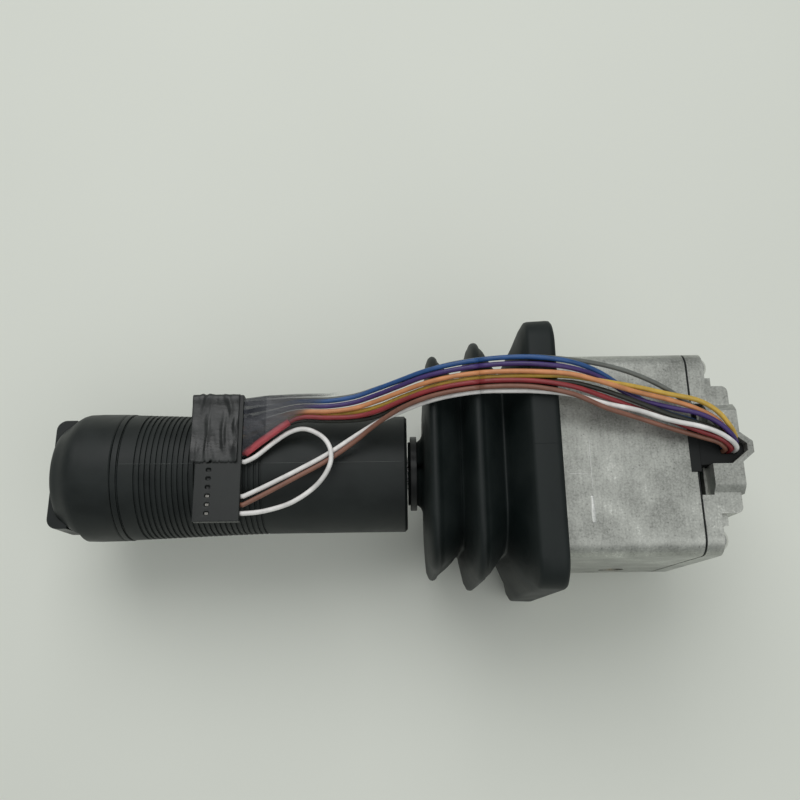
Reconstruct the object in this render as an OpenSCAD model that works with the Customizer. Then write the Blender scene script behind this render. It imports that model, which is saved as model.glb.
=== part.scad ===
// Two-axis industrial joystick: die-cast housing, convoluted boot, hand grip with a thumb
// rocker, and the loose harness that leaves the rear cover and is taped to the grip.
//
// Row frame: the origin is on the stick's axis in the plane of the panel seat, +X runs along
// the stick towards the rear cover, +Z is up and the joystick lies on one side of its boot.
// The rigid modules are drawn standing, with the stick up along +Z; laid() turns them over.

/* [Housing] */
// Side of the square die-cast housing
body_w = 59; // [58:0.5:62]
// Radius of the housing's long edges
body_r = 5; // [4:0.5:6]
// Depth of the housing behind the panel seat
body_depth = 38.5; // [38:0.5:46]
// Wall thickness of the housing
wall = 3.5; // [3.2:0.1:3.8]
// Side of the square panel flange
flange_w = 71; // [70.5:0.5:74]
// Thickness of the panel flange
flange_t = 4; // [3:0.5:5]
// Distance between neighbouring panel holes
panel_pitch = 62; // [61.5:0.5:63]
// Bore of a panel hole
panel_hole_d = 4.4; // [3.4:0.1:4.8]
// Bore of the round mouth that the stick swings in
mouth_d = 42; // [40:1:44]
// Height of the mouth's collar above the panel seat
neck_h = 9; // [7:0.5:9]
// Side offset of a cover screw from the stick's axis
screw_offset = 25.2; // [24.8:0.1:25.6]

/* [Rear cover] */
// Thickness of the gasket between housing and cover
gasket_t = 0.6; // [0.5:0.1:1]
// Thickness of the cover's rim
rim_t = 4.7; // [4.3:0.1:6]
// Height of the raised land on the rim
land_t = 2.4; // [2:0.1:3]
// Height of the cable hump above the land
hump_t = 3.7; // [3:0.1:5]
// Half width of the cable hump
hump_half = 18.4; // [17:0.2:20]
// Half width of the cable channel
channel_half = 4.7; // [4.2:0.1:5.2]
// Width of the pillar on each side of the channel
pillar_w = 8.3; // [7.5:0.1:9]
// Height of the pillars above the housing's side
pillar_proud = 1.7; // [1:0.1:2]

/* [Gimbal] */
// Depth of the tilt axes below the panel seat
pivot_drop = 14; // [13:0.5:14.5]
// Largest tilt each way, in degrees
tilt_max = 20; // [12:1:20]
// Outer side of the square gimbal ring
gimbal_w = 30; // [28:0.5:30.5]
// Height of the gimbal ring
gimbal_h = 9; // [8:0.5:9.5]
// Wall of the gimbal ring
gimbal_wall = 5; // [4.5:0.25:5.5]
// Diameter of the gimbal and bail trunnions
trunnion_d = 8; // [6:0.5:8.5]
// Outer diameter of the brass trunnion bushes
bush_od = 11; // [10:0.5:12]
// Diameter of the cross pin that carries the stick
cross_pin_d = 6; // [4:0.5:6.5]
// Radial thickness of the slotted bail
bail_t = 3; // [2.5:0.25:3]
// Width of the slotted bail
bail_w = 12; // [11:0.5:13]
// Wire diameter of the centring springs
spring_wire = 1.3; // [1:0.1:1.3]
// Diameter of the brass spring posts in the housing wall
post_d = 3.6; // [3:0.2:4]

/* [Boot] */
// Side of the square skirt that grips the flange
skirt_w = 76.8; // [76:0.2:79]
// Height of the skirt
skirt_h = 8.6; // [7.5:0.1:9]
// Corner radius of the skirt
skirt_r = 8; // [6:0.5:10]
// Half width of the small convolution next to the grip
fold_a_half = 32; // [30:0.5:34]
// Half width of the large convolution next to the skirt
fold_b_half = 35.2; // [33:0.2:37]
// Half width of the valleys between the convolutions
valley_half = 26; // [24:0.5:27]
// Rubber thickness measured square to the stick
boot_t = 2; // [1.6:0.1:2.4]
// Outer radius of the boot's neck on the stick
boot_neck_r = 10; // [9:0.5:12]

/* [Stick and grip] */
// Diameter of the steel stick
stick_d = 10; // [8:0.5:11]
// Height of the grip's lower end above the panel seat
grip_base = 42.6; // [42.6:0.2:46]
// Length of the grip from its lower end to the cap ring
grip_len = 85.6; // [84:0.2:92]
// Radius of the smooth lower part of the grip
grip_r = 18.2; // [17.6:0.1:18.8]
// Radius of the grip at the cap ring
grip_top_r = 19.7; // [19.2:0.1:20.2]
// Wall thickness of the grip halves
grip_t = 2.8; // [2.2:0.1:3.4]
// Number of grip rings
rib_count = 24; // [16:1:24]
// Distance from one grip ring to the next
rib_pitch = 1.6; // [1.4:0.1:1.6]
// Depth of the grooves between the grip rings
rib_depth = 0.45; // [0.2:0.05:0.7]

/* [Cap and rocker] */
// Height of the cap ring between grip and cap
cap_ring_h = 1.6; // [1.2:0.1:2.2]
// Height of the cap's face above the cap ring
cap_h = 20.2; // [19.6:0.2:22]
// Length of the thumb rocker
rocker_len = 34; // [32:0.5:35]
// Width of the thumb rocker
rocker_w = 14.2; // [12:0.2:14.6]
// Half width of the dip between the rocker's two pads
rocker_gap = 3.2; // [2.6:0.2:4]
// Rocker swing each way, in degrees
rocker_max = 8; // [5:1:8]
// Diameter of the rocker's pivot pin
rocker_pin_d = 3; // [2.4:0.2:3.2]
// Distance of a plunger from the rocker's pivot
plunger_arm = 9; // [8:0.25:9.5]

/* [Harness] */
// Outer diameter of a harness wire
wire_d = 1.4; // [1.2:0.1:1.4]
// Positions of the flat connector
pin_count = 14; // [12:1:14]
// Distance from one connector position to the next
pin_pitch = 2.54; // [2.5:0.01:2.54]
// Length of the connector along the grip
plug_len = 13.6; // [12:0.2:14]
// Thickness of the connector
plug_t = 2.8; // [2.6:0.1:3]

/* [Hidden] */
$fn = 64;

// Clearances
run_gap = 0.05;      // radial, shaft in bush
slide_gap = 0.3;     // between faces of two bodies
swing_gap = 1;       // between parts that swing past each other
fit_gap = 0.1;       // between faces of one body

// Housing
body_half = body_w / 2;
inner_half = body_half - wall;
inner_r = max(body_r - wall, 1.5);
flange_half = flange_w / 2;
flange_r = 6;
ceiling_t = 3;
post_r = 4.2;
thread_r = 1.5;
screw_r = 1.45;
neck_wall = 3;
notch_half = channel_half + 2;
notch_depth = 1.6;

// Gimbal and bail, measured from the tilt axes
gimbal_half = gimbal_w / 2;
gimbal_reach = norm([gimbal_half, gimbal_h / 2]);
gimbal_round = gimbal_half - 0.15;
plate_t = 3.5;
plate_r = trunnion_d / 2 + 3;
bail_ri = gimbal_reach + 1.5;
bail_ro = bail_ri + bail_t;
boss_r = bush_od / 2 + 2;
boss_y = gimbal_half + plate_t + swing_gap;
boss_x = bail_ro + swing_gap;
bush_end = body_half - 1.9;
trunnion_end = bush_end - 0.4;
magnet_t = 2;
stick_tip = bail_ro + 1;
hub_x = gimbal_half - gimbal_wall - slide_gap;
hub_half = (gimbal_half - gimbal_wall) * 0.6;
spigot_d = 6;
slot_half = spigot_d / 2 + 0.45;

// Centring springs: each coil sits round a bush boss and its two legs hold a fixed post in
// the wall and a peg on the moving part
coil_r = boss_r + spring_wire / 2 + 0.5;
coil_turns = 3;
peg_d = 3;
peg_dist = coil_r + spring_wire / 2 + peg_d / 2 + 1.8;
post_dist = peg_dist + peg_d / 2 + post_d / 2 + 1.5;
leg_len = post_dist + post_d / 2 + 1;
leg_off = post_d / 2 + spring_wire / 2 + fit_gap / 2;
post_dir = 31;       // direction of the posts below the tilt axis, in degrees

// Rear cover
gasket_z = -body_depth;
cover_z = gasket_z - gasket_t;
rim_z = cover_z - rim_t;
land_z = rim_z - land_t;
hump_z = land_z - hump_t;
pillar_z = hump_z - 1.1;
point_z = pillar_z - 3.4;
pillar_x = body_half + pillar_proud;
pillar_y = channel_half + pillar_w;
channel_floor = 20;
land_inset = 2.2;
pocket_depth = 2.7;
head_r = 3.2;
head_h = 2.3;
hood_screw_y = channel_half + pillar_w / 2;
hood_screw_x = body_half - 4;
board_t = 1.6;
board_z = cover_z - pocket_depth + 1;
board_half = inner_half - 1.7;
board_screw_x = 15;
board_screw_y = 19;
sensor_h = 1;
magnet_air = 3.2;        // swing room between a magnet arm and its sensor
arm_len = -(board_z + board_t) - pivot_drop - sensor_h - magnet_air;
arm_w = 8;
screw_bite = 10;         // length of a cover screw in the housing
hole_depth = 14;
cross_len = 3.2;
cross_w = 0.7;
hood_head_r = 2.5;
hood_head_h = 1.4;
hood_bite = 6.4;
hood_hole_r = 1.1;

// Boot stations, measured up from the panel seat
skirt_half = skirt_w / 2;
boot_foot = 0.3;
valley_b_z = 14.8;
fold_b_z = 22.4;
valley_a_z = 27;
fold_a_z = 34.7;
neck_z = 38.4;
boot_top = grip_base - slide_gap;

// Stick, grip and cap, measured up from the panel seat
stick_top = grip_base + grip_len - 6;
grip_top = grip_base + grip_len;
grip_ri = grip_r - grip_t;
rib_start = grip_top - rib_count * rib_pitch - 4;
seam_gap = 0.25;
ring_base = grip_top + seam_gap;
cap_base = ring_base + cap_ring_h + seam_gap;
cap_face = cap_base + cap_h;
cap_r = grip_top_r + 0.25;
cap_t = 2.4;
rocker_z = cap_face - 3.8;
rocker_half = rocker_len / 2;
pad_top = cap_face + 2.1;
rocker_under = cap_face - 6.2;
slot_floor = rocker_under - (plunger_arm + 2.2) * sin(rocker_max) - 0.64;
plunger_d = 4.4;
plunger_top = rocker_under - 0.35;
plunger_len = 9.6;
switch_top = slot_floor - cap_t;
switch_half = 6.5;
switch_end = plunger_arm + 4.5;
pin_half = 10.8;
nut_h = 6;
nut_base = stick_top - nut_h - 2;
web_t = 4;               // the three webs inside the grip that clamp the stick
low_web = grip_base + grip_len * 0.4;
top_web = nut_base - 3.6 - web_t;
boss_x_grip = 10.4;
grip_screw_z = [grip_base + grip_len * 0.2, grip_base + grip_len * 0.655];
grip_screw_r = 1.3;
grip_screw_seat = 7.6;
grip_screw_tip = 8.5;
grip_head_r = 2.5;
grip_head_h = 1.8;

// Harness
plug_z = 18.9;
plug_x = -104.6;
plug_w = pin_count * pin_pitch + 2.2;
plug_y = -17.6;
pin_y = [for (i = [0:pin_count - 1]) plug_y + 1.1 + (i + 0.5) * pin_pitch];
tape_t = 0.3;
film_t = 0.3;
wire_end_y = 0.9;        // middle column of wires where they enter the cover
wire_end_z = body_half - 3.2;
pocket_half = 2.3;       // half width of the sunk pocket that the wires come out of
bend_z = hump_z + 0.1;   // line that the outermost row of wires goes down on

// ---------------------------------------------------------------- helpers

// Turns what is drawn standing, stick up along +Z, into the lying row frame.
module laid() {
    rotate([0, -90, 0]) children();
}

// Square of half side a with corner radius r.
module rounded_square(a, r) {
    square([2 * (a - r), 2 * a], center = true);
    square([2 * a, 2 * (a - r)], center = true);
    for (sx = [-1, 1], sy = [-1, 1]) translate([sx * (a - r), sy * (a - r)]) circle(r = r);
}

// Rounded square column between two heights.
module column(z0, z1, a, r) {
    translate([0, 0, z0]) linear_extrude(z1 - z0) rounded_square(a, r);
}

// Box from its two corners.
module block(lo, hi) {
    translate(lo) cube(hi - lo);
}

// Cylinder along +X or +Y from one station to another.
module rod_x(x0, x1, r) {
    translate([x0, 0, 0]) rotate([0, 90, 0]) cylinder(r = r, h = x1 - x0);
}
module rod_y(y0, y1, r) {
    translate([0, y0, 0]) rotate([-90, 0, 0]) cylinder(r = r, h = y1 - y0);
}

// Places children at the tilt axes.
module at_pivot() {
    translate([0, 0, -pivot_drop]) children();
}

// Places children at the four cover screws.
module at_corners(a) {
    for (sx = [-1, 1], sy = [-1, 1]) translate([sx * a, sy * a, 0]) children();
}

// Extrudes a 2-D (y, z) outline along +X.
module along_x(x0, x1) {
    translate([x0, 0, 0]) rotate([90, 0, 90]) linear_extrude(x1 - x0) children();
}

// Low domed screw head that stands on z = 0 and points to -Z.
module domed_head(r, h) {
    dome_r = (r * r + h * h) / (2 * h);
    intersection() {
        translate([0, 0, dome_r - h]) sphere(r = dome_r);
        translate([0, 0, -h]) cylinder(r = r, h = h);
    }
}

function unit(v) = v / norm(v);

// One ring of a swept tube: n points round p, square to the direction t.
function tube_ring(p, t, ref, r, n) =
    let (a = unit(cross(t, ref)), b = cross(t, a))
    [for (i = [0:n - 1]) p + r * (cos(360 * i / n) * a + sin(360 * i / n) * b)];

function heading(pts, i) =
    unit(pts[min(i + 1, len(pts) - 1)] - pts[max(i - 1, 0)]);

// Faces that join m rings of n points, with or without closing the last ring to the first.
function side_faces(m, n, closed) =
    [for (i = [0:m - (closed ? 1 : 2)], j = [0:n - 1])
        let (k = (i + 1) % m, l = (j + 1) % n)
        each [[i * n + j, k * n + j, k * n + l], [i * n + j, k * n + l, i * n + l]]];

// Round tube swept along points; ref is any direction that the route never follows.
module tube(pts, d, ref = [0, 1, 0], sides = 8) {
    m = len(pts);
    rings = [for (i = [0:m - 1]) each tube_ring(pts[i], heading(pts, i), ref, d / 2, sides)];
    start = [for (j = [0:sides - 1]) j];
    finish = [for (j = [sides - 1:-1:0]) (m - 1) * sides + j];
    polyhedron(points = rings, faces = concat([start], side_faces(m, sides, false), [finish]));
}

// Point at parameter u on a smooth curve through pts (Catmull-Rom).
function curve_point(pts, i, u) =
    let (a = pts[max(i - 1, 0)], b = pts[i], c = pts[i + 1], d = pts[min(i + 2, len(pts) - 1)])
    0.5 * (2 * b + u * (c - a) + u * u * (2 * a - 5 * b + 4 * c - d)
        + u * u * u * (3 * b - a - 3 * c + d));

// Smooth route through pts with `steps` rings for each span.
function smooth_route(pts, steps) = concat(
    [for (i = [0:len(pts) - 2], s = [0:steps - 1]) curve_point(pts, i, s / steps)],
    [pts[len(pts) - 1]]);

// ---------------------------------------------------------------- base

module bush_bores() {
    at_pivot() for (s = [-1, 1]) {
        rod_y(min(s * boss_y, s * bush_end) - (s < 0 ? 0 : 1),
            max(s * boss_y, s * bush_end) + (s < 0 ? 1 : 0), bush_od / 2);
        rod_x(min(s * boss_x, s * bush_end) - (s < 0 ? 0 : 1),
            max(s * boss_x, s * bush_end) + (s < 0 ? 1 : 0), bush_od / 2);
    }
}

// Places children on the line of the spring posts of the side wall (turn 0) or of the wall
// that the bail hangs from (turn 90), x along the line and z pointing out through the wall.
module at_side_wall() {
    at_pivot() rotate([90, 0, 0]) rotate([0, 0, 180 + post_dir]) children();
}
module at_bail_wall() {
    at_pivot() rotate([0, -90, 0]) rotate([0, 0, 270 - post_dir]) children();
}

module post_holes() {
    at_side_wall() post_hole();
    at_bail_wall() post_hole();
}

module post_hole() {
    translate([post_dist, 0, inner_half - 1]) cylinder(d = post_d, h = wall + 2);
    translate([post_dist, 0, body_half - 1.2]) cylinder(r = post_d / 2 + 2.2, h = 2);
}

module housing() {
    color("silver") laid() difference() {
        union() {
            difference() {
                union() {
                    column(-body_depth, 0, body_half, body_r);
                    column(0, flange_t, flange_half, flange_r);
                    cylinder(d = mouth_d + 2 * neck_wall, h = neck_h);
                }
                column(-body_depth - 1, -ceiling_t, inner_half, inner_r);
            }
            // bosses for the trunnion bushes and pillars for the cover screws
            at_pivot() for (s = [-1, 1]) {
                rod_y(min(s * boss_y, s * inner_half) - (s < 0 ? 0.5 : 0),
                    max(s * boss_y, s * inner_half) + (s < 0 ? 0 : 0.5), boss_r);
                rod_x(min(s * boss_x, s * inner_half) - (s < 0 ? 0.5 : 0),
                    max(s * boss_x, s * inner_half) + (s < 0 ? 0 : 0.5), boss_r);
            }
            intersection() {
                translate([0, 0, -body_depth]) at_corners(screw_offset)
                    cylinder(r = post_r, h = body_depth - ceiling_t + 0.5);
                column(-body_depth, 0, body_half, body_r);
            }
        }
        bush_bores();
        post_holes();
        translate([0, 0, -body_depth - 1]) at_corners(screw_offset)
            cylinder(r = thread_r, h = hole_depth + 1);
        at_corners(panel_pitch / 2) translate([0, 0, -1])
            cylinder(d = panel_hole_d, h = flange_t + 2);
        translate([0, 0, -ceiling_t - 1]) cylinder(d = mouth_d, h = ceiling_t + neck_h + 2);
        block([inner_half - 2, -notch_half, -body_depth - 1],
            [body_half + 1, notch_half, -body_depth + notch_depth]);
    }
}

module bush_at(axis_x, s) {
    start = axis_x ? boss_x : boss_y;
    at_pivot() rotate([0, axis_x ? s * 90 : 0, 0]) rotate([axis_x ? 0 : -s * 90, 0, 0])
        translate([0, 0, start]) difference() {
            cylinder(d = bush_od, h = bush_end - start);
            translate([0, 0, -1])
                cylinder(r = trunnion_d / 2 + run_gap, h = bush_end - start + 2);
        }
}

module pivot_bushings() {
    color("goldenrod") laid() for (s = [-1, 1]) {
        bush_at(true, s);
        bush_at(false, s);
    }
}

module spring_post() {
    inside = inner_half - spring_wire * coil_turns - 1.2;
    translate([post_dist, 0, inside]) cylinder(d = post_d, h = body_half - 0.9 - inside);
    translate([post_dist, 0, body_half - 0.9]) mirror([0, 0, 1]) domed_head(post_d / 2, 0.6);
}

module spring_posts() {
    color("goldenrod") laid() {
        at_side_wall() spring_post();
        at_bail_wall() spring_post();
    }
}

// Centring spring round a boss, x along the posts: a leg, the coil and the other leg.
module centring_spring() {
    z0 = inner_half - 0.15 - spring_wire / 2 - coil_turns * spring_wire * 1.02;
    lift = coil_turns * spring_wire * 1.02;
    a0 = asin(leg_off / coil_r);
    turns = 360 * coil_turns - 2 * a0;
    steps = 18 * coil_turns;
    coil = [for (i = [0:steps]) let (a = a0 + turns * i / steps)
        [coil_r * cos(a), coil_r * sin(a), z0 + lift * i / steps]];
    route = concat([[leg_len, leg_off, z0], [coil_r * cos(a0) + 1.2, leg_off, z0]], coil,
        [[coil_r * cos(a0) + 1.2, -leg_off, z0 + lift], [leg_len, -leg_off, z0 + lift]]);
    tube(route, spring_wire, [0, 0, 1], 8);
}

module fore_spring() {
    color("dimgray") laid() at_side_wall() centring_spring();
}

module side_spring() {
    color("dimgray") laid() at_bail_wall() centring_spring();
}

module cover_gasket() {
    color("black") laid() difference() {
        column(cover_z, gasket_z, body_half - 0.4, body_r - 0.4);
        column(cover_z - 1, gasket_z + 1, inner_half - 1, inner_r);
        translate([0, 0, cover_z - 1]) at_corners(screw_offset)
            cylinder(r = screw_r + 0.3, h = gasket_t + 2);
        block([inner_half - 2, -notch_half, cover_z - 1], [body_half + 1, notch_half, gasket_z + 1]);
    }
}

// Outline of the cable channel behind the hump, as (y, z) points.
function channel_outline(c) = [
    [-channel_half + c, cover_z + 1], [-channel_half + c, hump_z + 1.9],
    [-1 + c / 2, point_z + 1.7 + c], [1 - c / 2, point_z + 1.7 + c],
    [channel_half - c, hump_z + 1.9], [channel_half - c, cover_z + 1]
];

// Side view of the hump, as (y, z): square to the land, round at the back.
module hump_outline() {
    r = 1.8;
    for (s = [-1, 1]) translate([s * (hump_half - r), hump_z + r]) circle(r = r);
    translate([-hump_half, hump_z + r]) square([2 * hump_half, rim_z - hump_z - r]);
    translate([-hump_half + r, hump_z]) square([2 * (hump_half - r), rim_z - hump_z]);
}

// The pointed wall that closes the channel, as (y, z) points.
module point_outline() {
    polygon([
        [-pillar_y + 4, rim_z], [-pillar_y + 4, pillar_z], [-channel_half + 0.4, pillar_z],
        [-1.6, point_z], [1.6, point_z],
        [channel_half - 0.4, pillar_z], [pillar_y - 4, pillar_z], [pillar_y - 4, rim_z]
    ]);
}

// Plan of one pillar, as (x, y): flat top, sloping outer flank.
module pillar_plan() {
    polygon([
        [channel_floor, channel_half - 0.5], [pillar_x, channel_half - 0.5],
        [pillar_x, pillar_y - 2.4], [pillar_x - 0.5, pillar_y - 1.6],
        [body_half - 0.4, pillar_y], [channel_floor, pillar_y]
    ]);
}

module rear_cover() {
    color("silver") laid() difference() {
        union() {
            column(rim_z, cover_z, body_half, body_r);
            difference() {
                column(land_z, rim_z + 0.5, body_half - land_inset, body_r);
                translate([0, 0, land_z - 1]) at_corners(screw_offset)
                    cylinder(r = head_r + 1, h = land_t + 1);
            }
            along_x(-hump_half, body_half) hump_outline();
            along_x(channel_floor, pillar_x) point_outline();
            translate([0, 0, pillar_z]) linear_extrude(cover_z - 3.4 - pillar_z)
                for (s = [0, 1]) mirror([0, s, 0]) pillar_plan();
        }
        // pocket for the circuit board, leaving the four screw corners
        difference() {
            column(cover_z - pocket_depth, cover_z + 1, inner_half - 1, inner_r);
            translate([0, 0, cover_z - pocket_depth - 1]) at_corners(screw_offset)
                cylinder(r = post_r + 0.8, h = pocket_depth + 3);
            translate([0, 0, cover_z - pocket_depth - 1]) at_board_screws()
                cylinder(r = 2.6, h = 1 + board_z - cover_z + pocket_depth);
        }
        at_corners(screw_offset) translate([0, 0, land_z - 1])
            cylinder(r = screw_r + 0.25, h = cover_z - land_z + 2);
        at_board_screws() translate([0, 0, board_z - 2.2]) cylinder(r = 0.8, h = 3);
        along_x(channel_floor, pillar_x + 1) polygon(channel_outline(0));
        // shallow cut across the rim on each side of the channel
        block([body_half - 4.5, -pillar_y - 0.2, cover_z - 3.4],
            [body_half + 1, pillar_y + 0.2, cover_z + 1]);
        for (s = [-1, 1]) translate([hood_screw_x, s * hood_screw_y, pillar_z - 1])
            cylinder(r = hood_hole_r, h = hood_bite + 1.6);
    }
}

module at_board_screws() {
    for (sx = [-1, 1], sy = [-1, 1]) 
        translate([sx * board_screw_x, sy * board_screw_y, 0]) children();
}

module cover_screws() {
    color("gainsboro") laid() at_corners(screw_offset) difference() {
        union() {
            translate([0, 0, rim_z]) domed_head(head_r, head_h);
            translate([0, 0, rim_z - 0.2]) cylinder(r = screw_r, h = rim_t + gasket_t + screw_bite);
        }
        for (a = [0, 90]) translate([0, 0, rim_z - head_h]) rotate([0, 0, a])
            cube([cross_len, cross_w, 2.2], center = true);
    }
}

module hood_screws() {
    color("gainsboro") laid() for (s = [-1, 1]) translate([hood_screw_x, s * hood_screw_y, 0]) {
        translate([0, 0, pillar_z]) domed_head(hood_head_r, hood_head_h);
        translate([0, 0, pillar_z - 0.1]) cylinder(r = hood_hole_r - run_gap, h = hood_bite + 0.1);
    }
}

module cable_grommet() {
    color("black") laid() difference() {
        union() {
            along_x(channel_floor + fit_gap, body_half - 0.7) intersection() {
                polygon(channel_outline(fit_gap));
                translate([-channel_half, point_z]) square([2 * channel_half, cover_z - point_z]);
            }
            block([inner_half + 0.2, -notch_half + fit_gap, cover_z - 0.8],
                [body_half - 0.2, notch_half - fit_gap, -body_depth + notch_depth - fit_gap]);
        }
        // the sunk pocket that the wires rise from
        block([wire_end_z, wire_end_y - pocket_half, bend_z - 0.8],
            [body_half + 1, wire_end_y + pocket_half, bend_z + pocket_half + 1.5]);
    }
}

module circuit_board() {
    color("darkgreen") laid() difference() {
        column(board_z, board_z + board_t, board_half, 1.5);
        translate([0, 0, board_z - 1]) {
            at_corners(screw_offset) cylinder(r = post_r + 1.2, h = board_t + 2);
            at_board_screws() cylinder(r = 1.2, h = board_t + 2);
        }
        block([channel_floor - 0.5, -notch_half - 0.5, board_z - 1],
            [board_half + 1, notch_half + 0.5, board_z + board_t + 1]);
    }
}

module hall_sensors() {
    z = board_z + board_t;
    color("black") laid() {
        translate([-2, gimbal_half + plate_t / 2 - 1.5, z]) cube([4, 3, sensor_h]);
        translate([bail_ri - 1.8, -1.5, z]) cube([3.8, 3, sensor_h]);
    }
}

module board_screws() {
    color("gainsboro") laid() at_board_screws() translate([0, 0, board_z]) {
        translate([0, 0, board_t]) cylinder(r = 1.9, h = 1.2);
        translate([0, 0, -2]) cylinder(r = 0.75, h = board_t + 2.1);
    }
}

// Boot section: n points on a rounded square of half side a and corner radius r at height z.
function boot_ring(z, a, r, n = 8) =
    [for (q = [0:3], i = [0:n - 1])
        let (t = 90 * q + 90 * i / (n - 1), u = 45 + 90 * q)
        [sign(cos(u)) * (a - r) + r * cos(t), sign(sin(u)) * (a - r) + r * sin(t), z]];

// A convolution's round crest, and a valley's round floor, as [z, half side] stations.
function crest(z, a) = [[z - 2, a - 1.8], [z - 1.1, a - 0.5], [z, a], [z + 1.1, a - 0.5],
    [z + 2, a - 1.8]];
function trough(z, a) = [[z - 0.8, a + 0.5], [z, a], [z + 0.8, a + 0.5]];

// Outside of the boot from the skirt's foot to the neck.
boot_outer = concat(
    [[boot_foot, skirt_half - 0.8], [boot_foot + 0.8, skirt_half], [skirt_h - 1, skirt_half - 0.2],
     [skirt_h, skirt_half - 0.8], [skirt_h + 0.8, skirt_half - 2.2]],
    trough(valley_b_z, valley_half + 1), crest(fold_b_z, fold_b_half),
    trough(valley_a_z, valley_half - 1), crest(fold_a_z, fold_a_half),
    [[neck_z - 0.8, boot_neck_r + 3.5], [neck_z + 0.2, boot_neck_r + 0.6],
     [neck_z + 1, boot_neck_r], [boot_top, boot_neck_r]]);

// Corner radius of the boot's section at half side a: round at the neck, squarer outwards.
function corner_r(a) = a > skirt_half - 3 ? skirt_r : a < boot_neck_r + 5 ? a : a * 0.28 + 5;

boot_skirt_n = 5;
boot_inner = concat(
    [[boot_top, stick_d / 2 + slide_gap], [neck_z - 0.4, stick_d / 2 + slide_gap]],
    [for (i = [len(boot_outer) - 4:-1:boot_skirt_n]) [boot_outer[i][0], boot_outer[i][1] - boot_t]],
    [[flange_t + 0.2, flange_half - 2.4], [flange_t + 0.1, flange_half + fit_gap],
     [boot_foot, flange_half + fit_gap]]);

module boot() {
    stations = concat(boot_outer, boot_inner);
    m = len(stations);
    n = 32;
    points = [for (i = [0:m - 1]) let (s = stations[i])
        each boot_ring(s[0], s[1], i < len(boot_outer) ? corner_r(s[1])
            : i >= m - 2 ? flange_r : corner_r(s[1]))];
    color("#202224") laid() polyhedron(points = points, faces = side_faces(m, n, true));
}

// ---------------------------------------------------------------- gimbal and bail

module gimbal_yoke() {
    color("gray") laid() at_pivot() difference() {
        union() {
            // ring, turned round where it swings inside the bail
            intersection() {
                column(-gimbal_h / 2, gimbal_h / 2, gimbal_half, 2);
                rod_y(-gimbal_half, gimbal_half, gimbal_round);
            }
            for (s = [-1, 1]) mirror([0, s < 0 ? 1 : 0, 0]) {
                rod_y(gimbal_half - 1, gimbal_half + plate_t, plate_r);
                rod_y(gimbal_half - 1, trunnion_end, trunnion_d / 2);
            }
            // arm that carries the magnet over its sensor
            block([-arm_w / 2, gimbal_half, -arm_len], [arm_w / 2, gimbal_half + plate_t, 0]);
            // ear and peg between the legs of the centring spring
            rotate([90, 0, 0]) rotate([0, 0, 180 + post_dir]) {
                translate([0, -3, gimbal_half - 0.5]) cube([peg_dist, 6, plate_t + 0.5]);
                translate([peg_dist, 0, gimbal_half - 0.5]) cylinder(r = 3, h = plate_t + 0.5);
                translate([peg_dist, 0, gimbal_half])
                    cylinder(d = peg_d, h = inner_half - 0.6 - gimbal_half);
            }
        }
        column(-gimbal_h, gimbal_h, gimbal_half - gimbal_wall, 1.5);
        rod_x(-gimbal_half - 1, gimbal_half + 1, cross_pin_d / 2 + run_gap);
        translate([0, gimbal_half + plate_t / 2, -arm_len - 1])
            cylinder(r = plate_t / 2 - 0.5, h = magnet_t + 1);
    }
}

module gimbal_magnet() {
    color("lightgray") laid() at_pivot() translate([0, gimbal_half + plate_t / 2, -arm_len])
        cylinder(r = plate_t / 2 - 0.5, h = magnet_t);
}

module slotted_bail() {
    color("gray") laid() at_pivot() difference() {
        union() {
            // half hoop under the gimbal, square to the bail's trunnions
            rotate([-90, 0, 0]) rotate_extrude(angle = 180)
                translate([bail_ri, -bail_w / 2]) square([bail_t, bail_w]);
            for (s = [-1, 1]) mirror([s < 0 ? 1 : 0, 0, 0]) {
                rod_x(bail_ri, bail_ro, bail_w / 2);
                rod_x(bail_ri + 0.5, trunnion_end, trunnion_d / 2);
            }
            // arm that carries the magnet over its sensor
            block([bail_ri, -arm_w / 2, -arm_len], [bail_ro, arm_w / 2, 0]);
            // ear and peg between the legs of the centring spring
            rotate([0, -90, 0]) rotate([0, 0, 270 - post_dir]) {
                translate([0, -3, bail_ri]) cube([peg_dist, 6, bail_t]);
                translate([peg_dist, 0, bail_ri]) cylinder(r = 3, h = bail_t);
                translate([peg_dist, 0, bail_ri])
                    cylinder(d = peg_d, h = inner_half - 0.6 - bail_ri);
            }
        }
        // slot that the stick's spigot slides in
        block([-bail_ri * sin(tilt_max) - slot_half - 1.5, -slot_half, -bail_ro - 1],
            [bail_ri * sin(tilt_max) + slot_half + 1.5, slot_half, -bail_ri / 2]);
        translate([bail_ri + bail_t / 2, 0, -arm_len - 1])
            cylinder(r = bail_t / 2 - 0.5, h = magnet_t + 1);
    }
}

module bail_magnet() {
    color("lightgray") laid() at_pivot() translate([bail_ri + bail_t / 2, 0, -arm_len])
        cylinder(r = bail_t / 2 - 0.5, h = magnet_t);
}

// ---------------------------------------------------------------- stick and grip

module stick_shaft() {
    color("lightsteelblue") laid() difference() {
        union() {
            at_pivot() {
                block([-hub_x, -hub_half, -hub_half], [hub_x, hub_half, hub_half]);
                translate([0, 0, -stick_tip + spigot_d / 2])
                    cylinder(d = spigot_d, h = stick_tip - 4);
                translate([0, 0, -stick_tip + spigot_d / 2]) sphere(d = spigot_d);
            }
            translate([0, 0, -pivot_drop]) cylinder(d = stick_d, h = stick_top + pivot_drop);
        }
        at_pivot() rod_x(-hub_x - 1, hub_x + 1, cross_pin_d / 2);
    }
}

module cross_pin() {
    color("gainsboro") laid() at_pivot()
        rod_x(-gimbal_half + 0.5, gimbal_half - 0.5, cross_pin_d / 2);
}

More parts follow.
